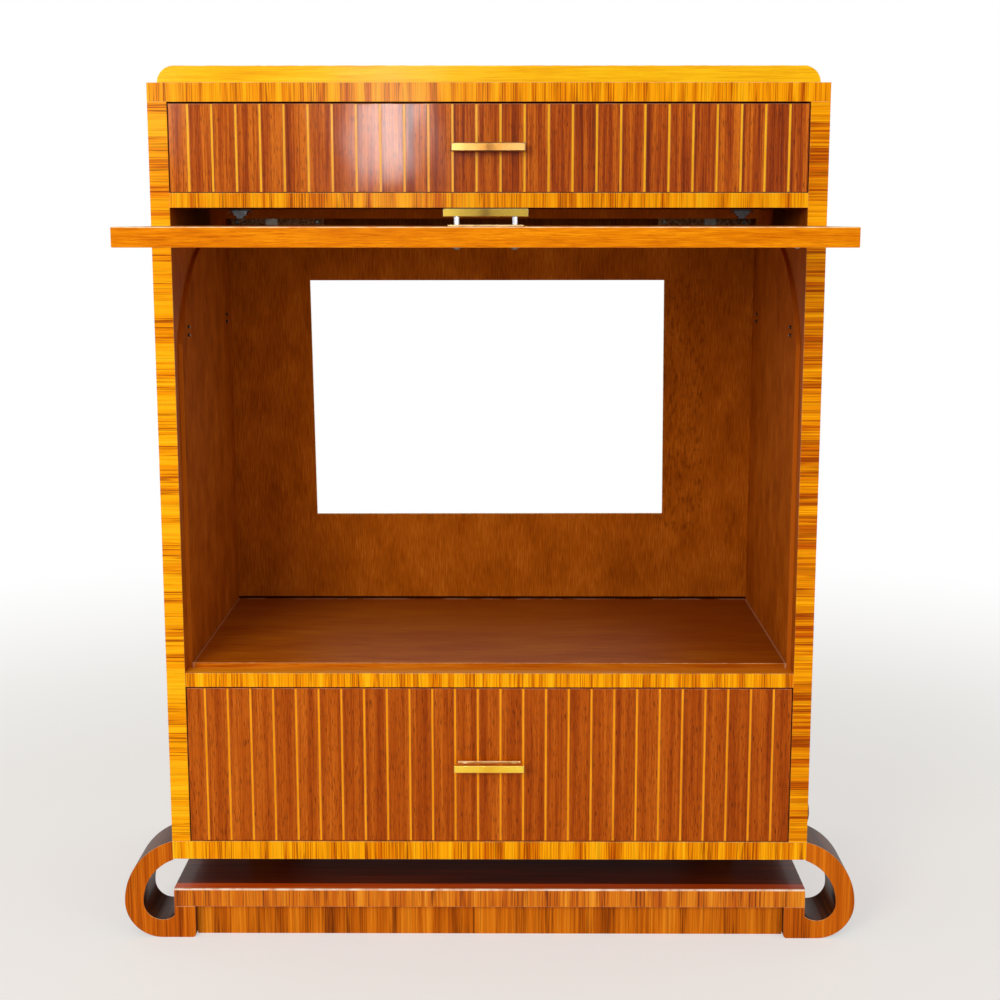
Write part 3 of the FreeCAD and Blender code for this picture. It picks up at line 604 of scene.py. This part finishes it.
def polished_floor(name):
    material, tree, output = blank_material(name)
    coords = add(tree, "ShaderNodeTexCoord").outputs["Object"]
    place = add(tree, "ShaderNodeSeparateXYZ", {"Vector": coords}).outputs
    colour, pore = long_grain(tree, coords, X, FLOOR_BROWN, 2.0, 60, 50, 0.3, 1.0)
    # Painted shade: darker towards the back of the compartment.
    back_shade = band_mask(tree, place["Y"], floor_low.y, floor_high.y, 0.75)
    colour = add(tree, "ShaderNodeMix", {0: back_shade, 6: colour, 7: linear(SHADED_BACK_BROWN)},
                 data_type="RGBA").outputs[2]
    # Painted shade: darker towards the right.
    right = band_mask(tree, place["X"], -0.25, 0.35, 0.45)
    colour = add(tree, "ShaderNodeMix", {0: right, 6: colour, 7: linear(SHADED_RIGHT_BROWN)},
                 data_type="RGBA").outputs[2]
    reach = add(tree, "ShaderNodeMath", {0: place["X"]}, operation="ABSOLUTE").outputs["Value"]
    side = band_mask(tree, reach, floor_high.x - SIDE_WEAR[0], floor_high.x - SIDE_WEAR[1])
    rear = band_mask(tree, place["Y"], floor_high.y - REAR_WEAR[0], floor_high.y - REAR_WEAR[1])
    ragged = add(tree, "ShaderNodeTexNoise",
                 {"Vector": coords, "Scale": FLAKES_PER_METRE, "Detail": 6.0}).outputs["Fac"]
    chipped = band_mask(tree, ragged, 0.48, 0.56, 0.8)
    rear = add(tree, "ShaderNodeMath", {0: rear, 1: chipped}, operation="MULTIPLY").outputs["Value"]
    side = add(tree, "ShaderNodeMath", {0: side, 1: 0.5}, operation="MULTIPLY").outputs["Value"]
    flaked = add(tree, "ShaderNodeMath", {0: side, 1: rear}, operation="MAXIMUM").outputs["Value"]
    colour = add(tree, "ShaderNodeMix", {0: flaked, 6: colour, 7: linear(BARE_WOOD)},
                 data_type="RGBA").outputs[2]
    # Painted shade: a dark line along the back, where the floor meets the back panel.
    crease_shade = band_mask(tree, place["Y"], floor_high.y - REAR_CREASE_SHADE[0], floor_high.y - REAR_CREASE_SHADE[1], 0.85)
    colour = add(tree, "ShaderNodeMix", {0: crease_shade, 6: colour, 7: linear(CREASE_SHADE_COLOUR)},
                 data_type="RGBA").outputs[2]
    polished_wood(tree, output, colour, pore, 1.0, "#f4c890", 1.0, 0.5, 0.05, 0.2, 0.12)
    return material


dress(polished_floor("polished_shelf_floor"), "shelf_floor")

# %% [markdown]
# ## Scroll feet
#
# Each foot is a wide band of bent wood.  Its sawn front and back faces wear striped veneer with the
# grain upright, while the bent surfaces, inside and out, are dark.  The split follows the normal
# again: faces that look along Y are the sawn ones.

# %% Scroll feet
BENT = [(0.34, "#220c02"), (0.45, "#3c1804"), (0.55, "#502408"), (0.68, "#6c3814")]
FOOT_GROUND = [(0.32, "#8c3800"), (0.43, "#b04e00"), (0.53, "#c66004"), (0.66, "#dc7810")]


def scroll_wood(name):
    material, tree, output = blank_material(name)
    source = add(tree, "ShaderNodeTexCoord")
    coords = source.outputs["Object"]
    along_y = add(tree, "ShaderNodeSeparateXYZ", {"Vector": source.outputs["Normal"]}).outputs["Y"]
    sawn = add(tree, "ShaderNodeMath", {0: along_y}, operation="ABSOLUTE").outputs["Value"]
    sawn = add(tree, "ShaderNodeMath", {0: sawn, 1: 0.7}, operation="GREATER_THAN").outputs["Value"]
    face, pore = cross_banding(tree, coords, Z, FOOT_GROUND, "#5c2402", 1.9, 14, 0.6, 0.0, 6.0)
    bent, _ = long_grain(tree, coords, Y, BENT, 4.0, 200, 40, 0.3, 2.0)
    both = add(tree, "ShaderNodeMix", {0: sawn, 6: bent, 7: face}, data_type="RGBA").outputs[2]
    polished_wood(tree, output, both, pore, 1.0, "#f4c48c", 0.9, 0.5, 0.1, 0.12)
    return material


dress(scroll_wood("bent_scroll_veneer"), "left_front_foot", "right_front_foot", "left_rear_foot",
      "right_rear_foot")

# %% [markdown]
# ## Back panel
#
# The back is thin plywood, stained brown.  Someone sawed a hole in it later, and the cut
# shows raw pale plies with a splintered lip.  The sawn edges are where the normal has no part along
# Y, and the edge mask, broken up by a noise, draws the splinters round them.  Inside, old dabs of
# glue and pencil have left a column of dark marks on the right, and a painted shade draws a dark
# line where the compartment's floor meets the back.

# %% Plywood back
RAW_PLY = [(0.3, "#b07c40"), (0.5, "#dcae6c"), (0.7, "#f4d29c")]
MARKS_X = (0.262, 0.335)
MARKS_Z = (0.50, 0.90)
MARK_BROWN, CREASE_SHADE_BROWN = "#4a1a04", "#2a0c02"
HALF_CREASE_SHADE = 2.5 * MM
SPLINTERS_PER_METRE = 160.0


def sawn_plywood(name):
    material, tree, output = blank_material(name)
    source = add(tree, "ShaderNodeTexCoord")
    coords = source.outputs["Object"]
    colour, pore = stained_wood(tree, coords, Z, shift=4.0)
    place = add(tree, "ShaderNodeSeparateXYZ", {"Vector": coords}).outputs
    dabs = grain_lines(tree, coords, Z, 6, 14, 4, 2.2)
    dabs = add(tree, "ShaderNodeMapRange",
               {"Value": dabs, "From Min": 0.50, "From Max": 0.36, "To Max": 0.4})
    facing = add(tree, "ShaderNodeSeparateXYZ", {"Vector": source.outputs["Normal"]}).outputs["Y"]
    inner = add(tree, "ShaderNodeMath", {0: facing, 1: -0.5}, operation="LESS_THAN").outputs["Value"]
    inside = add(tree, "ShaderNodeMath", {0: dabs.outputs["Result"], 1: inner},
                 operation="MULTIPLY").outputs["Value"]
    for axis, (low, high) in (("X", MARKS_X), ("Z", MARKS_Z)):
        for limit, test in ((low, "GREATER_THAN"), (high, "LESS_THAN")):
            within = add(tree, "ShaderNodeMath", {0: place[axis], 1: limit},
                         operation=test).outputs["Value"]
            inside = add(tree, "ShaderNodeMath", {0: inside, 1: within},
                         operation="MULTIPLY").outputs["Value"]
    colour = add(tree, "ShaderNodeMix", {0: inside, 6: colour, 7: linear(MARK_BROWN)},
                 data_type="RGBA").outputs[2]
    raw, _ = long_grain(tree, coords, X, RAW_PLY, 1.0, 30, 8, 0.2)
    edge = add(tree, "ShaderNodeMath", {0: facing}, operation="ABSOLUTE").outputs["Value"]
    edge = add(tree, "ShaderNodeMath", {0: edge, 1: 0.5}, operation="LESS_THAN").outputs["Value"]
    _, rim = eased_edges(tree, 1.6)
    torn = add(tree, "ShaderNodeTexNoise",
               {"Vector": coords, "Scale": SPLINTERS_PER_METRE, "Detail": 4.0}).outputs["Fac"]
    torn = add(tree, "ShaderNodeMapRange",
               {"Value": torn, "From Min": 0.44, "From Max": 0.54}).outputs["Result"]
    lip = add(tree, "ShaderNodeMath", {0: rim, 1: torn}, operation="MULTIPLY").outputs["Value"]
    bare = add(tree, "ShaderNodeMath", {0: edge, 1: lip}, operation="MAXIMUM").outputs["Value"]
    both = add(tree, "ShaderNodeMix", {0: bare, 6: colour, 7: raw}, data_type="RGBA").outputs[2]
    bump = add(tree, "ShaderNodeBump", {"Height": pore, "Strength": 0.12, "Distance": PORE_DEPTH},
               invert=True)
    # Painted shade: a dark line on the inside, where the compartment's floor meets the back.
    above = add(tree, "ShaderNodeMath", {0: place["Z"], 1: floor_high.z},
                operation="SUBTRACT").outputs["Value"]
    apart = add(tree, "ShaderNodeMath", {0: above}, operation="ABSOLUTE").outputs["Value"]
    crease_shade = add(tree, "ShaderNodeMath", {0: apart, 1: HALF_CREASE_SHADE}, operation="LESS_THAN").outputs["Value"]
    crease_shade = add(tree, "ShaderNodeMath", {0: crease_shade, 1: inner}, operation="MULTIPLY").outputs["Value"]
    both = add(tree, "ShaderNodeMix", {0: crease_shade, 6: both, 7: linear(CREASE_SHADE_BROWN)},
               data_type="RGBA").outputs[2]
    polish(tree, output, both, bump.outputs["Normal"], source.outputs["Normal"], 0.8, 0.0, 0.4, 0.05)
    return material


dress(sawn_plywood("stained_plywood"), "back_panel")

# %% [markdown]
# ## Metals
#
# The handles' posts are chromed steel and their plates are bronze or pale brass, the arms are plain
# steel gone dull, and the glide brackets are pressed aluminium.  A metal's colour drifts over some
# millimetres, so a noise of that size picks it from a ramp, and its arrises are painted brighter:
# partly rubbed metal, partly a painted highlight.

# %% Steel, bronze and aluminium


def metal(name, colour_stops, roughness, blotch_mm, edge_mm=0.6, bright="#fff2c8", shine=0.7):
    """A metal whose colour drifts over blotch_mm, with arrises painted bright as a highlight."""
    material, tree, output = blank_material(name)
    coords = add(tree, "ShaderNodeTexCoord").outputs["Object"]
    drift = add(tree, "ShaderNodeTexNoise",
                {"Vector": coords, "Scale": 1 / (blotch_mm * MM), "Detail": 3.0}).outputs["Fac"]
    colour = add(tree, "ShaderNodeValToRGB", {"Fac": drift}, stops=colour_stops).outputs["Color"]
    rounded, mask = eased_edges(tree, edge_mm)
    # Painted highlight: the arrises are mixed towards the bright colour.
    painted_edge_highlight = add(tree, "ShaderNodeMath", {0: mask, 1: shine}, operation="MULTIPLY").outputs["Value"]
    colour = add(tree, "ShaderNodeMix", {0: painted_edge_highlight, 6: colour, 7: linear(bright)},
                 data_type="RGBA").outputs[2]
    dull = add(tree, "ShaderNodeMapRange", {"Value": drift, "From Min": 0.3, "From Max": 0.7,
                                            "To Min": roughness * 0.85,
                                            "To Max": roughness * 1.15}).outputs["Result"]
    shader = add(tree, "ShaderNodeBsdfPrincipled",
                 {"Base Color": colour, "Metallic": 1.0, "Roughness": dull, "Normal": rounded})
    tree.links.new(shader.outputs["BSDF"], output.inputs["Surface"])
    return material


chrome = metal("chromed_steel", [(0.3, "#c4c4c8"), (0.7, "#e4e4e8")], 0.12, 20, bright="#ffffff")
bronze = metal("pale_bronze_plate", [(0.3, "#8a6c44"), (0.7, "#bc9c6c")], 0.35, 10, bright="#ffe8c0")
pale_brass = metal("pale_lacquered_brass_plate", [(0.3, "#f0d890"), (0.7, "#fff0b4")], 0.35, 10,
                   bright="#fff6d0")
dull_steel = metal("dull_steel", [(0.3, "#6c645a"), (0.7, "#948c80")], 0.42, 6, bright="#c8c2b8")
silver = metal("pressed_aluminium", [(0.3, "#84868c"), (0.7, "#acaeb4")], 0.35, 6, bright="#ffffff")

# %% [markdown]
# ## Handled brass
#
# Lacquered brass goes a little brown where fingers have pulled at it, in the middle of each bar, so
# the place across the bar picks the colour.  The flap's bar is painted darker all over, a painted
# reflection of the dark that its front faces.  The lowest bar and its plate are hardly used and kept
# their bright yellow.  The bevels of every bar are painted bright, a painted highlight.

# %% Brass bars
BRASS = [(0.0, "#5e3c1c"), (0.3, "#8a602c"), (1.0, "#a07842")]
BRIGHT_BRASS = [(0.0, "#f0b834"), (0.3, "#f8c83c"), (1.0, "#ffd84a")]
REFLECTION_DARK_BRASS = [(0.0, "#54401a"), (0.3, "#6c5620"), (1.0, "#806a28")]
BROWN_TO, CLEAN_FROM = 0.012, 0.055    # metres from the middle of a bar
BROWN_SPREAD = 0.03
CLOUDS_PER_METRE = 90.0
BEVEL_HIGHLIGHT = "#ffeec0"


def handled_brass(name, shades):
    """Golden at the ends of a bar, browner in the middle, with painted highlights on the bevels."""
    material, tree, output = blank_material(name)
    coords = add(tree, "ShaderNodeTexCoord").outputs["Object"]
    across = add(tree, "ShaderNodeSeparateXYZ", {"Vector": coords}).outputs["X"]
    reach = add(tree, "ShaderNodeMath", {0: across}, operation="ABSOLUTE").outputs["Value"]
    cloud = add(tree, "ShaderNodeTexNoise",
                {"Vector": coords, "Scale": CLOUDS_PER_METRE, "Detail": 3.0}).outputs["Fac"]
    cloud = add(tree, "ShaderNodeMath", {0: cloud, 1: BROWN_SPREAD},
                operation="MULTIPLY").outputs["Value"]
    reach = add(tree, "ShaderNodeMath", {0: reach, 1: cloud}, operation="ADD").outputs["Value"]
    worn_to = add(tree, "ShaderNodeMapRange",
                  {"Value": reach, "From Min": BROWN_TO, "From Max": CLEAN_FROM}).outputs["Result"]
    colour = add(tree, "ShaderNodeValToRGB", {"Fac": worn_to}, stops=shades).outputs["Color"]
    rounded, mask = eased_edges(tree, 0.5)
    # Painted highlight: the bevels are mixed towards a pale shine colour.
    colour = add(tree, "ShaderNodeMix", {0: mask, 6: colour, 7: linear(BEVEL_HIGHLIGHT)},
                 data_type="RGBA").outputs[2]
    shader = add(tree, "ShaderNodeBsdfPrincipled",
                 {"Base Color": colour, "Metallic": 1.0, "Roughness": 0.28, "Normal": rounded})
    tree.links.new(shader.outputs["BSDF"], output.inputs["Surface"])
    return material


# %% Metals on their pieces
dress(handled_brass("aged_lacquered_brass", BRASS), "top_drawer_handle_bar")
dress(handled_brass("bright_lacquered_brass", BRIGHT_BRASS), "bottom_drawer_handle_bar")
# The flap's bar: its darker brass is a painted reflection.
dress(handled_brass("dark_reflection_brass", REFLECTION_DARK_BRASS), "flap_handle_bar")
dress(bronze, "top_drawer_handle_plate", "flap_handle_plate")
dress(pale_brass, "bottom_drawer_handle_plate")
dress(chrome, "top_drawer_handle_posts", "bottom_drawer_handle_posts", "flap_handle_posts")
dress(dull_steel, "pivot_arms", "flap_pivot_pins", "top_drawer_handle_screws",
      "bottom_drawer_handle_screws", "flap_handle_screws", "flap_catch_stud")
dress(silver, "glide_brackets")

# %% [markdown]
# ## Japanned plates and nylon pads
#
# Japanning is a baked lacquer.  On the small plates beside the flap's arms it has a brown mottle of
# two or three millimetres, so one noise draws both its colour and its bumps.  The mottle's colours
# are painted lighter than the lacquer, a painted light on plates that sit in the rail's shadow.
# The glide pads are plain white nylon, a little waxy, with only a faint cloud in it.

# %% Lacquered plates and white pads
# Painted light: these colours are lighter than the lacquer, for plates that sit in the rail's shadow.
JAPAN_PAINTED_LIGHT = [(0.36, "#b87040"), (0.5, "#e8a068"), (0.64, "#ffd09c")]
NYLON_WHITE = [(0.3, "#e8e4dc"), (0.7, "#fbfaf6")]
MOTTLES_PER_METRE = 420.0
MOTTLE_HEIGHT = 0.3 * MM


def japanned(name):
    material, tree, output = blank_material(name)
    coords = add(tree, "ShaderNodeTexCoord").outputs["Object"]
    mottle = add(tree, "ShaderNodeTexNoise",
                 {"Vector": coords, "Scale": MOTTLES_PER_METRE, "Detail": 5.0}).outputs["Fac"]
    colour = add(tree, "ShaderNodeValToRGB", {"Fac": mottle}, stops=JAPAN_PAINTED_LIGHT).outputs["Color"]
    bump = add(tree, "ShaderNodeBump",
               {"Height": mottle, "Strength": 0.3, "Distance": MOTTLE_HEIGHT}).outputs["Normal"]
    polish(tree, output, colour, bump, bump, 0.6, 0.0, 0.5)
    return material


def nylon(name):
    material, tree, output = blank_material(name)
    coords = add(tree, "ShaderNodeTexCoord").outputs["Object"]
    cloud = add(tree, "ShaderNodeTexNoise",
                {"Vector": coords, "Scale": CLOUDS_PER_METRE, "Detail": 2.0}).outputs["Fac"]
    colour = add(tree, "ShaderNodeValToRGB", {"Fac": cloud}, stops=NYLON_WHITE).outputs["Color"]
    rounded, _ = eased_edges(tree, 0.4)
    polish(tree, output, colour, rounded, rounded, 0.45, 0.0, 0.5)
    return material


dress(japanned("mottled_brown_plate"), "arm_plates")
dress(nylon("white_nylon"), "glide_pads")

# %% [markdown]
# ## Screws
#
# Slotted screws hold the plywood back and the plates of the flap's carriage.  They are too small to
# matter for the structure, so they are made here.  A head is a short cone that narrows outwards.
# Two cuts across its face mark off a narrow strip, and a copy of that strip is pushed in for the
# slot.  The extrusion leaves the first strip in place as a thin lid, so the slots are still closed.
# Deleting that one face after the extrusion would open them.

# %% Slotted heads
HEAD_SIDES = 20
SLOT_SHARE = 0.14    # half the slot's width as a share of the head's radius


def upper_faces(mesh, old):
    """The faces that look up, apart from those of the old vertices."""
    return [face for face in mesh.faces if face.normal.z > 0.9 and not old.intersection(face.verts)]


def slotted_head(mesh, place, facing, radius, tip_radius, height, turn):
    """Add a slotted head to mesh, centred on place and looking along facing."""
    old = set(mesh.verts)
    bmesh.ops.create_cone(mesh, cap_ends=True, segments=HEAD_SIDES, radius1=radius, radius2=tip_radius,
                          depth=height)
    mesh.normal_update()
    half_slot = radius * SLOT_SHARE
    for side in (-half_slot, half_slot):
        faces = upper_faces(mesh, old)
        edges = {edge for face in faces for edge in face.edges}
        corners = {corner for face in faces for corner in face.verts}
        bmesh.ops.bisect_plane(mesh, geom=[*faces, *edges, *corners], plane_co=(0, side, 0),
                               plane_no=(0, 1, 0))
        mesh.normal_update()
    strip = min(upper_faces(mesh, old), key=lambda face: abs(face.calc_center_median().y))
    pushed = bmesh.ops.extrude_face_region(mesh, geom=[strip])["geom"]
    sunk = [part for part in pushed if isinstance(part, bmesh.types.BMVert)]
    bmesh.ops.translate(mesh, verts=sunk, vec=(0, 0, -height * 0.5))
    pointed = Vector(facing).to_track_quat("Z", "Y").to_matrix().to_4x4()
    moved = Matrix.Translation(place) @ pointed @ Matrix.Rotation(turn, 4, "Z")
    bmesh.ops.transform(mesh, matrix=moved, verts=[v for v in mesh.verts if v not in old])


def finished(name, mesh, material, body):
    """Turn a bmesh into an object that rides on a CAD body and takes its finish from a slot."""
    bmesh.ops.recalc_face_normals(mesh, faces=mesh.faces)
    data = bpy.data.meshes.new(name)
    mesh.to_mesh(data)
    mesh.free()
    data.materials.append(material)
    piece = bpy.data.objects.new(name, data)
    bpy.context.scene.collection.objects.link(piece)
    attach(piece, body)
    print(name, "has", len(data.polygons), "faces")


# %% [markdown]
# ## Screws in the back
#
# The plywood back is held all round: seven screws go up each side and three along the top and the
# bottom.  Their slots stop at various angles, because each screw was driven until it held.  The
# heads are sunk almost flush with the plywood.

# %% Back screws
BACK_SCREW = (3.5 * MM, 3.1 * MM, 0.8 * MM)    # radius, radius at the slot, height
SIDE_INSET, TOP_INSET = 4.5 * MM, 5 * MM
ROWS = 7
COLUMNS = (-0.3, 0.0, 0.3)
TURN_STEP = 0.9
back_low, back_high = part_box("back_panel")
edge_x = back_high.x - SIDE_INSET
row_low = back_low.z + SIDE_INSET
row_high = back_high.z - TOP_INSET
spots = []
for side in (-1, 1):
    for row in range(ROWS):
        spots.append((side * edge_x, row_low + (row_high - row_low) * (row + 0.5) / ROWS))
spots += [(column, height) for column in COLUMNS for height in (row_low, row_high)]
back_screws = bmesh.new()
for i, (x, z) in enumerate(spots):
    slotted_head(back_screws, (x, back_high.y, z), (0, 1, 0), *BACK_SCREW, i * TURN_STEP)
finished("back_screw_heads", back_screws, dull_steel, "cabinet")

# %% [markdown]
# ## Screws in the arm plates
#
# Beside each arm two japanned plates lie flat on the front of the follower bar, one outside the arm
# and one inside it.  A screw near the far end holds each of them.  Its head stands out from the
# plate, so the cone is higher and narrows more than in the back.

# %% Arm plate screws
PLATE_SCREW = (3.5 * MM, 2.5 * MM, 1.4 * MM)
PLATES_AND_ARM = (50 + 18 + 68) * MM    # the outer plate, the arm and the inner plate
END_INSET = 9 * MM
PROUD = 0.5 * MM
plate_low, plate_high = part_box("arm_plates")
plate_z = (plate_low.z + plate_high.z) / 2
inner_end = plate_high.x - PLATES_AND_ARM
plate_screws = bmesh.new()
for i, x in enumerate((plate_high.x - END_INSET, inner_end + END_INSET)):
    for side in (-1, 1):
        place = (side * x, plate_low.y - PROUD, plate_z)
        slotted_head(plate_screws, place, (0, -1, 0), *PLATE_SCREW, i + side)
finished("arm_plate_screw_heads", plate_screws, dull_steel, "flap_carriage")

# %% [markdown]
# ## Left-over screws in the walls
#
# Two pairs of small screws in each wall lining once held some fitting.  Their blackened heads still
# stand out of the holes, and their edges are painted bright steel, a painted highlight.

# %% Blackened heads
OLD_SCREW = (2.6 * MM, 1.7 * MM, 3.6 * MM)
BELOW_DIVIDER = 164.5 * MM
HALF_PAIR = 5.5 * MM
FRONT_INSET, REAR_INSET = 70 * MM, 50 * MM
STANDS_OUT = 1.6 * MM
lining_low, lining_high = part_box("right_side_lining")
hole_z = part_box("upper_divider")[0].z - BELOW_DIVIDER
# The bright edge colour and full shine on these heads are a painted highlight.
blacked = metal("blackened_steel", [(0.3, "#1c100a"), (0.7, "#34241a")], 0.3, 3, 0.5, "#f4e8d8", 1.0)
heads = bmesh.new()
for side in (-1, 1):
    for y in (front_y + FRONT_INSET, lining_high.y - REAR_INSET):
        for z in (hole_z - HALF_PAIR, hole_z + HALF_PAIR):
            middle = (side * (lining_low.x - STANDS_OUT), y, z)
            slotted_head(heads, middle, (-side, 0, 0), *OLD_SCREW, z * 900 + y)
finished("old_screw_heads", heads, blacked, "cabinet")

# %% [markdown]
# ## Floor
#
# A pale floor keeps the shadow near the cabinet and fades to white further out.  The white is only
# for rays that the camera sees, straight or in a mirror, so that the far floor doesn't light the
# cabinet more than a matt one would.

# %% Pale floor
HALF_FLOOR = 12.0
floor_mesh = bmesh.new()
bmesh.ops.create_grid(floor_mesh, x_segments=1, y_segments=1, size=HALF_FLOOR)
floor_data = bpy.data.meshes.new("floor")
floor_mesh.to_mesh(floor_data)
floor_mesh.free()
floor = bpy.data.objects.new("floor", floor_data)
bpy.context.scene.collection.objects.link(floor)


def seen_or_mirrored(tree):
    """1 for rays that come from the camera straight, by a mirror or through glass."""
    path = add(tree, "ShaderNodeLightPath").outputs
    seen = add(tree, "ShaderNodeMath", {0: path["Is Camera Ray"], 1: path["Is Glossy Ray"]},
               operation="MAXIMUM")
    seen = add(tree, "ShaderNodeMath", {0: seen.outputs["Value"], 1: path["Is Transmission Ray"]},
               operation="MAXIMUM")
    return seen.outputs["Value"]


def pale_floor(name):
    """To the camera: half matt and half white near the cabinet, all white from 3 metres out."""
    material, tree, output = blank_material(name)
    coords = add(tree, "ShaderNodeTexCoord").outputs["Object"]
    away = add(tree, "ShaderNodeVectorMath", {0: coords}, operation="LENGTH").outputs["Value"]
    far = add(tree, "ShaderNodeMapRange", {"Value": away, "From Min": 0.9, "From Max": 2.8,
                                           "To Min": 0.5},
              interpolation_type="SMOOTHSTEP").outputs["Result"]
    share = add(tree, "ShaderNodeMath", {0: far, 1: seen_or_mirrored(tree)},
                operation="MULTIPLY").outputs["Value"]
    matt = add(tree, "ShaderNodeBsdfPrincipled", {"Base Color": linear("#f4eee2"), "Roughness": 0.8,
                                                  "Specular IOR Level": 0.2}).outputs["BSDF"]
    white = add(tree, "ShaderNodeEmission",
                {"Color": linear("#ffffff"), "Strength": 1.0}).outputs["Emission"]
    both = add(tree, "ShaderNodeMixShader", {0: share, 1: matt, 2: white}).outputs["Shader"]
    tree.links.new(both, output.inputs["Surface"])
    return material


floor_data.materials.append(pale_floor("pale_floor"))

# %% [markdown]
# ## World and lamps
#
# The world is white to the camera and to reflections, while it lights the cabinet at a plain level.
# A large soft lamp from the front left lights the faces, a weaker one fills from the right, and a
# narrow tall lamp behind the camera stands for a window that the polished top drawer mirrors.

# %% White world
PLAIN_LEVEL = 0.55
world = bpy.data.worlds.new("studio")
bpy.context.scene.world = world
world.use_nodes = True
tree = world.node_tree
tree.nodes.clear()
strength = add(tree, "ShaderNodeMapRange",
               {"Value": seen_or_mirrored(tree), "To Min": PLAIN_LEVEL, "To Max": 1.0})
sky = add(tree, "ShaderNodeBackground",
          {"Color": linear("#ffffff"), "Strength": strength.outputs["Result"]})
add(tree, "ShaderNodeOutputWorld", {"Surface": sky.outputs["Background"]})
print("world strength for diffuse rays:", PLAIN_LEVEL)

# %% Three lamps


def softbox(name, place, target, width, height, watts):
    """A rectangular lamp at place that faces target, in metres."""
    light = bpy.data.lights.new(name, "AREA")
    light.shape = "RECTANGLE"
    light.size = width
    light.size_y = height
    light.energy = watts
    lamp = bpy.data.objects.new(name, light)
    bpy.context.scene.collection.objects.link(lamp)
    aim = (Vector(target) - Vector(place)).to_track_quat("-Z", "Y").to_matrix().to_4x4()
    lamp.matrix_world = Matrix.Translation(place) @ aim
    print("lamp", name, "of", watts, "watts")
    return lamp


softbox("key", (-1.9, -3.8, 2.0), (0.0, 0.0, 0.6), 1.6, 1.6, 88)
softbox("fill", (2.6, -3.2, 1.6), (0.0, 0.0, 0.6), 1.6, 1.6, 22)
window = softbox("window", (-0.41, -4.0, 1.44), (-0.12, 0.0, 1.1), 0.2, 0.6, 24)
window.visible_diffuse = False

# %% [markdown]
# ## Camera
#
# The camera stands a little over two metres in front of the cabinet and about a metre above the
# floor, and tilts down, so that the cabinet fills the frame and the compartment's floor shows.  The
# Standard view transform keeps the colours as they were picked.

# %% Camera
FROM_FRONT = 2.1917
TILT, TURN = 9.563, 0.268    # degrees down and to the left
eye = bpy.data.cameras.new("camera")
eye.lens = 59.78
eye.sensor_width = 36.0
camera = bpy.data.objects.new("camera", eye)
bpy.context.scene.collection.objects.link(camera)
camera.location = (0.0251, front_y - FROM_FRONT, 0.9909)
camera.rotation_euler = (math.radians(90 - TILT), 0.0, math.radians(TURN))
bpy.context.scene.camera = camera
bpy.context.scene.view_settings.view_transform = "Standard"
print("camera with a lens of", round(eye.lens, 2), "mm")
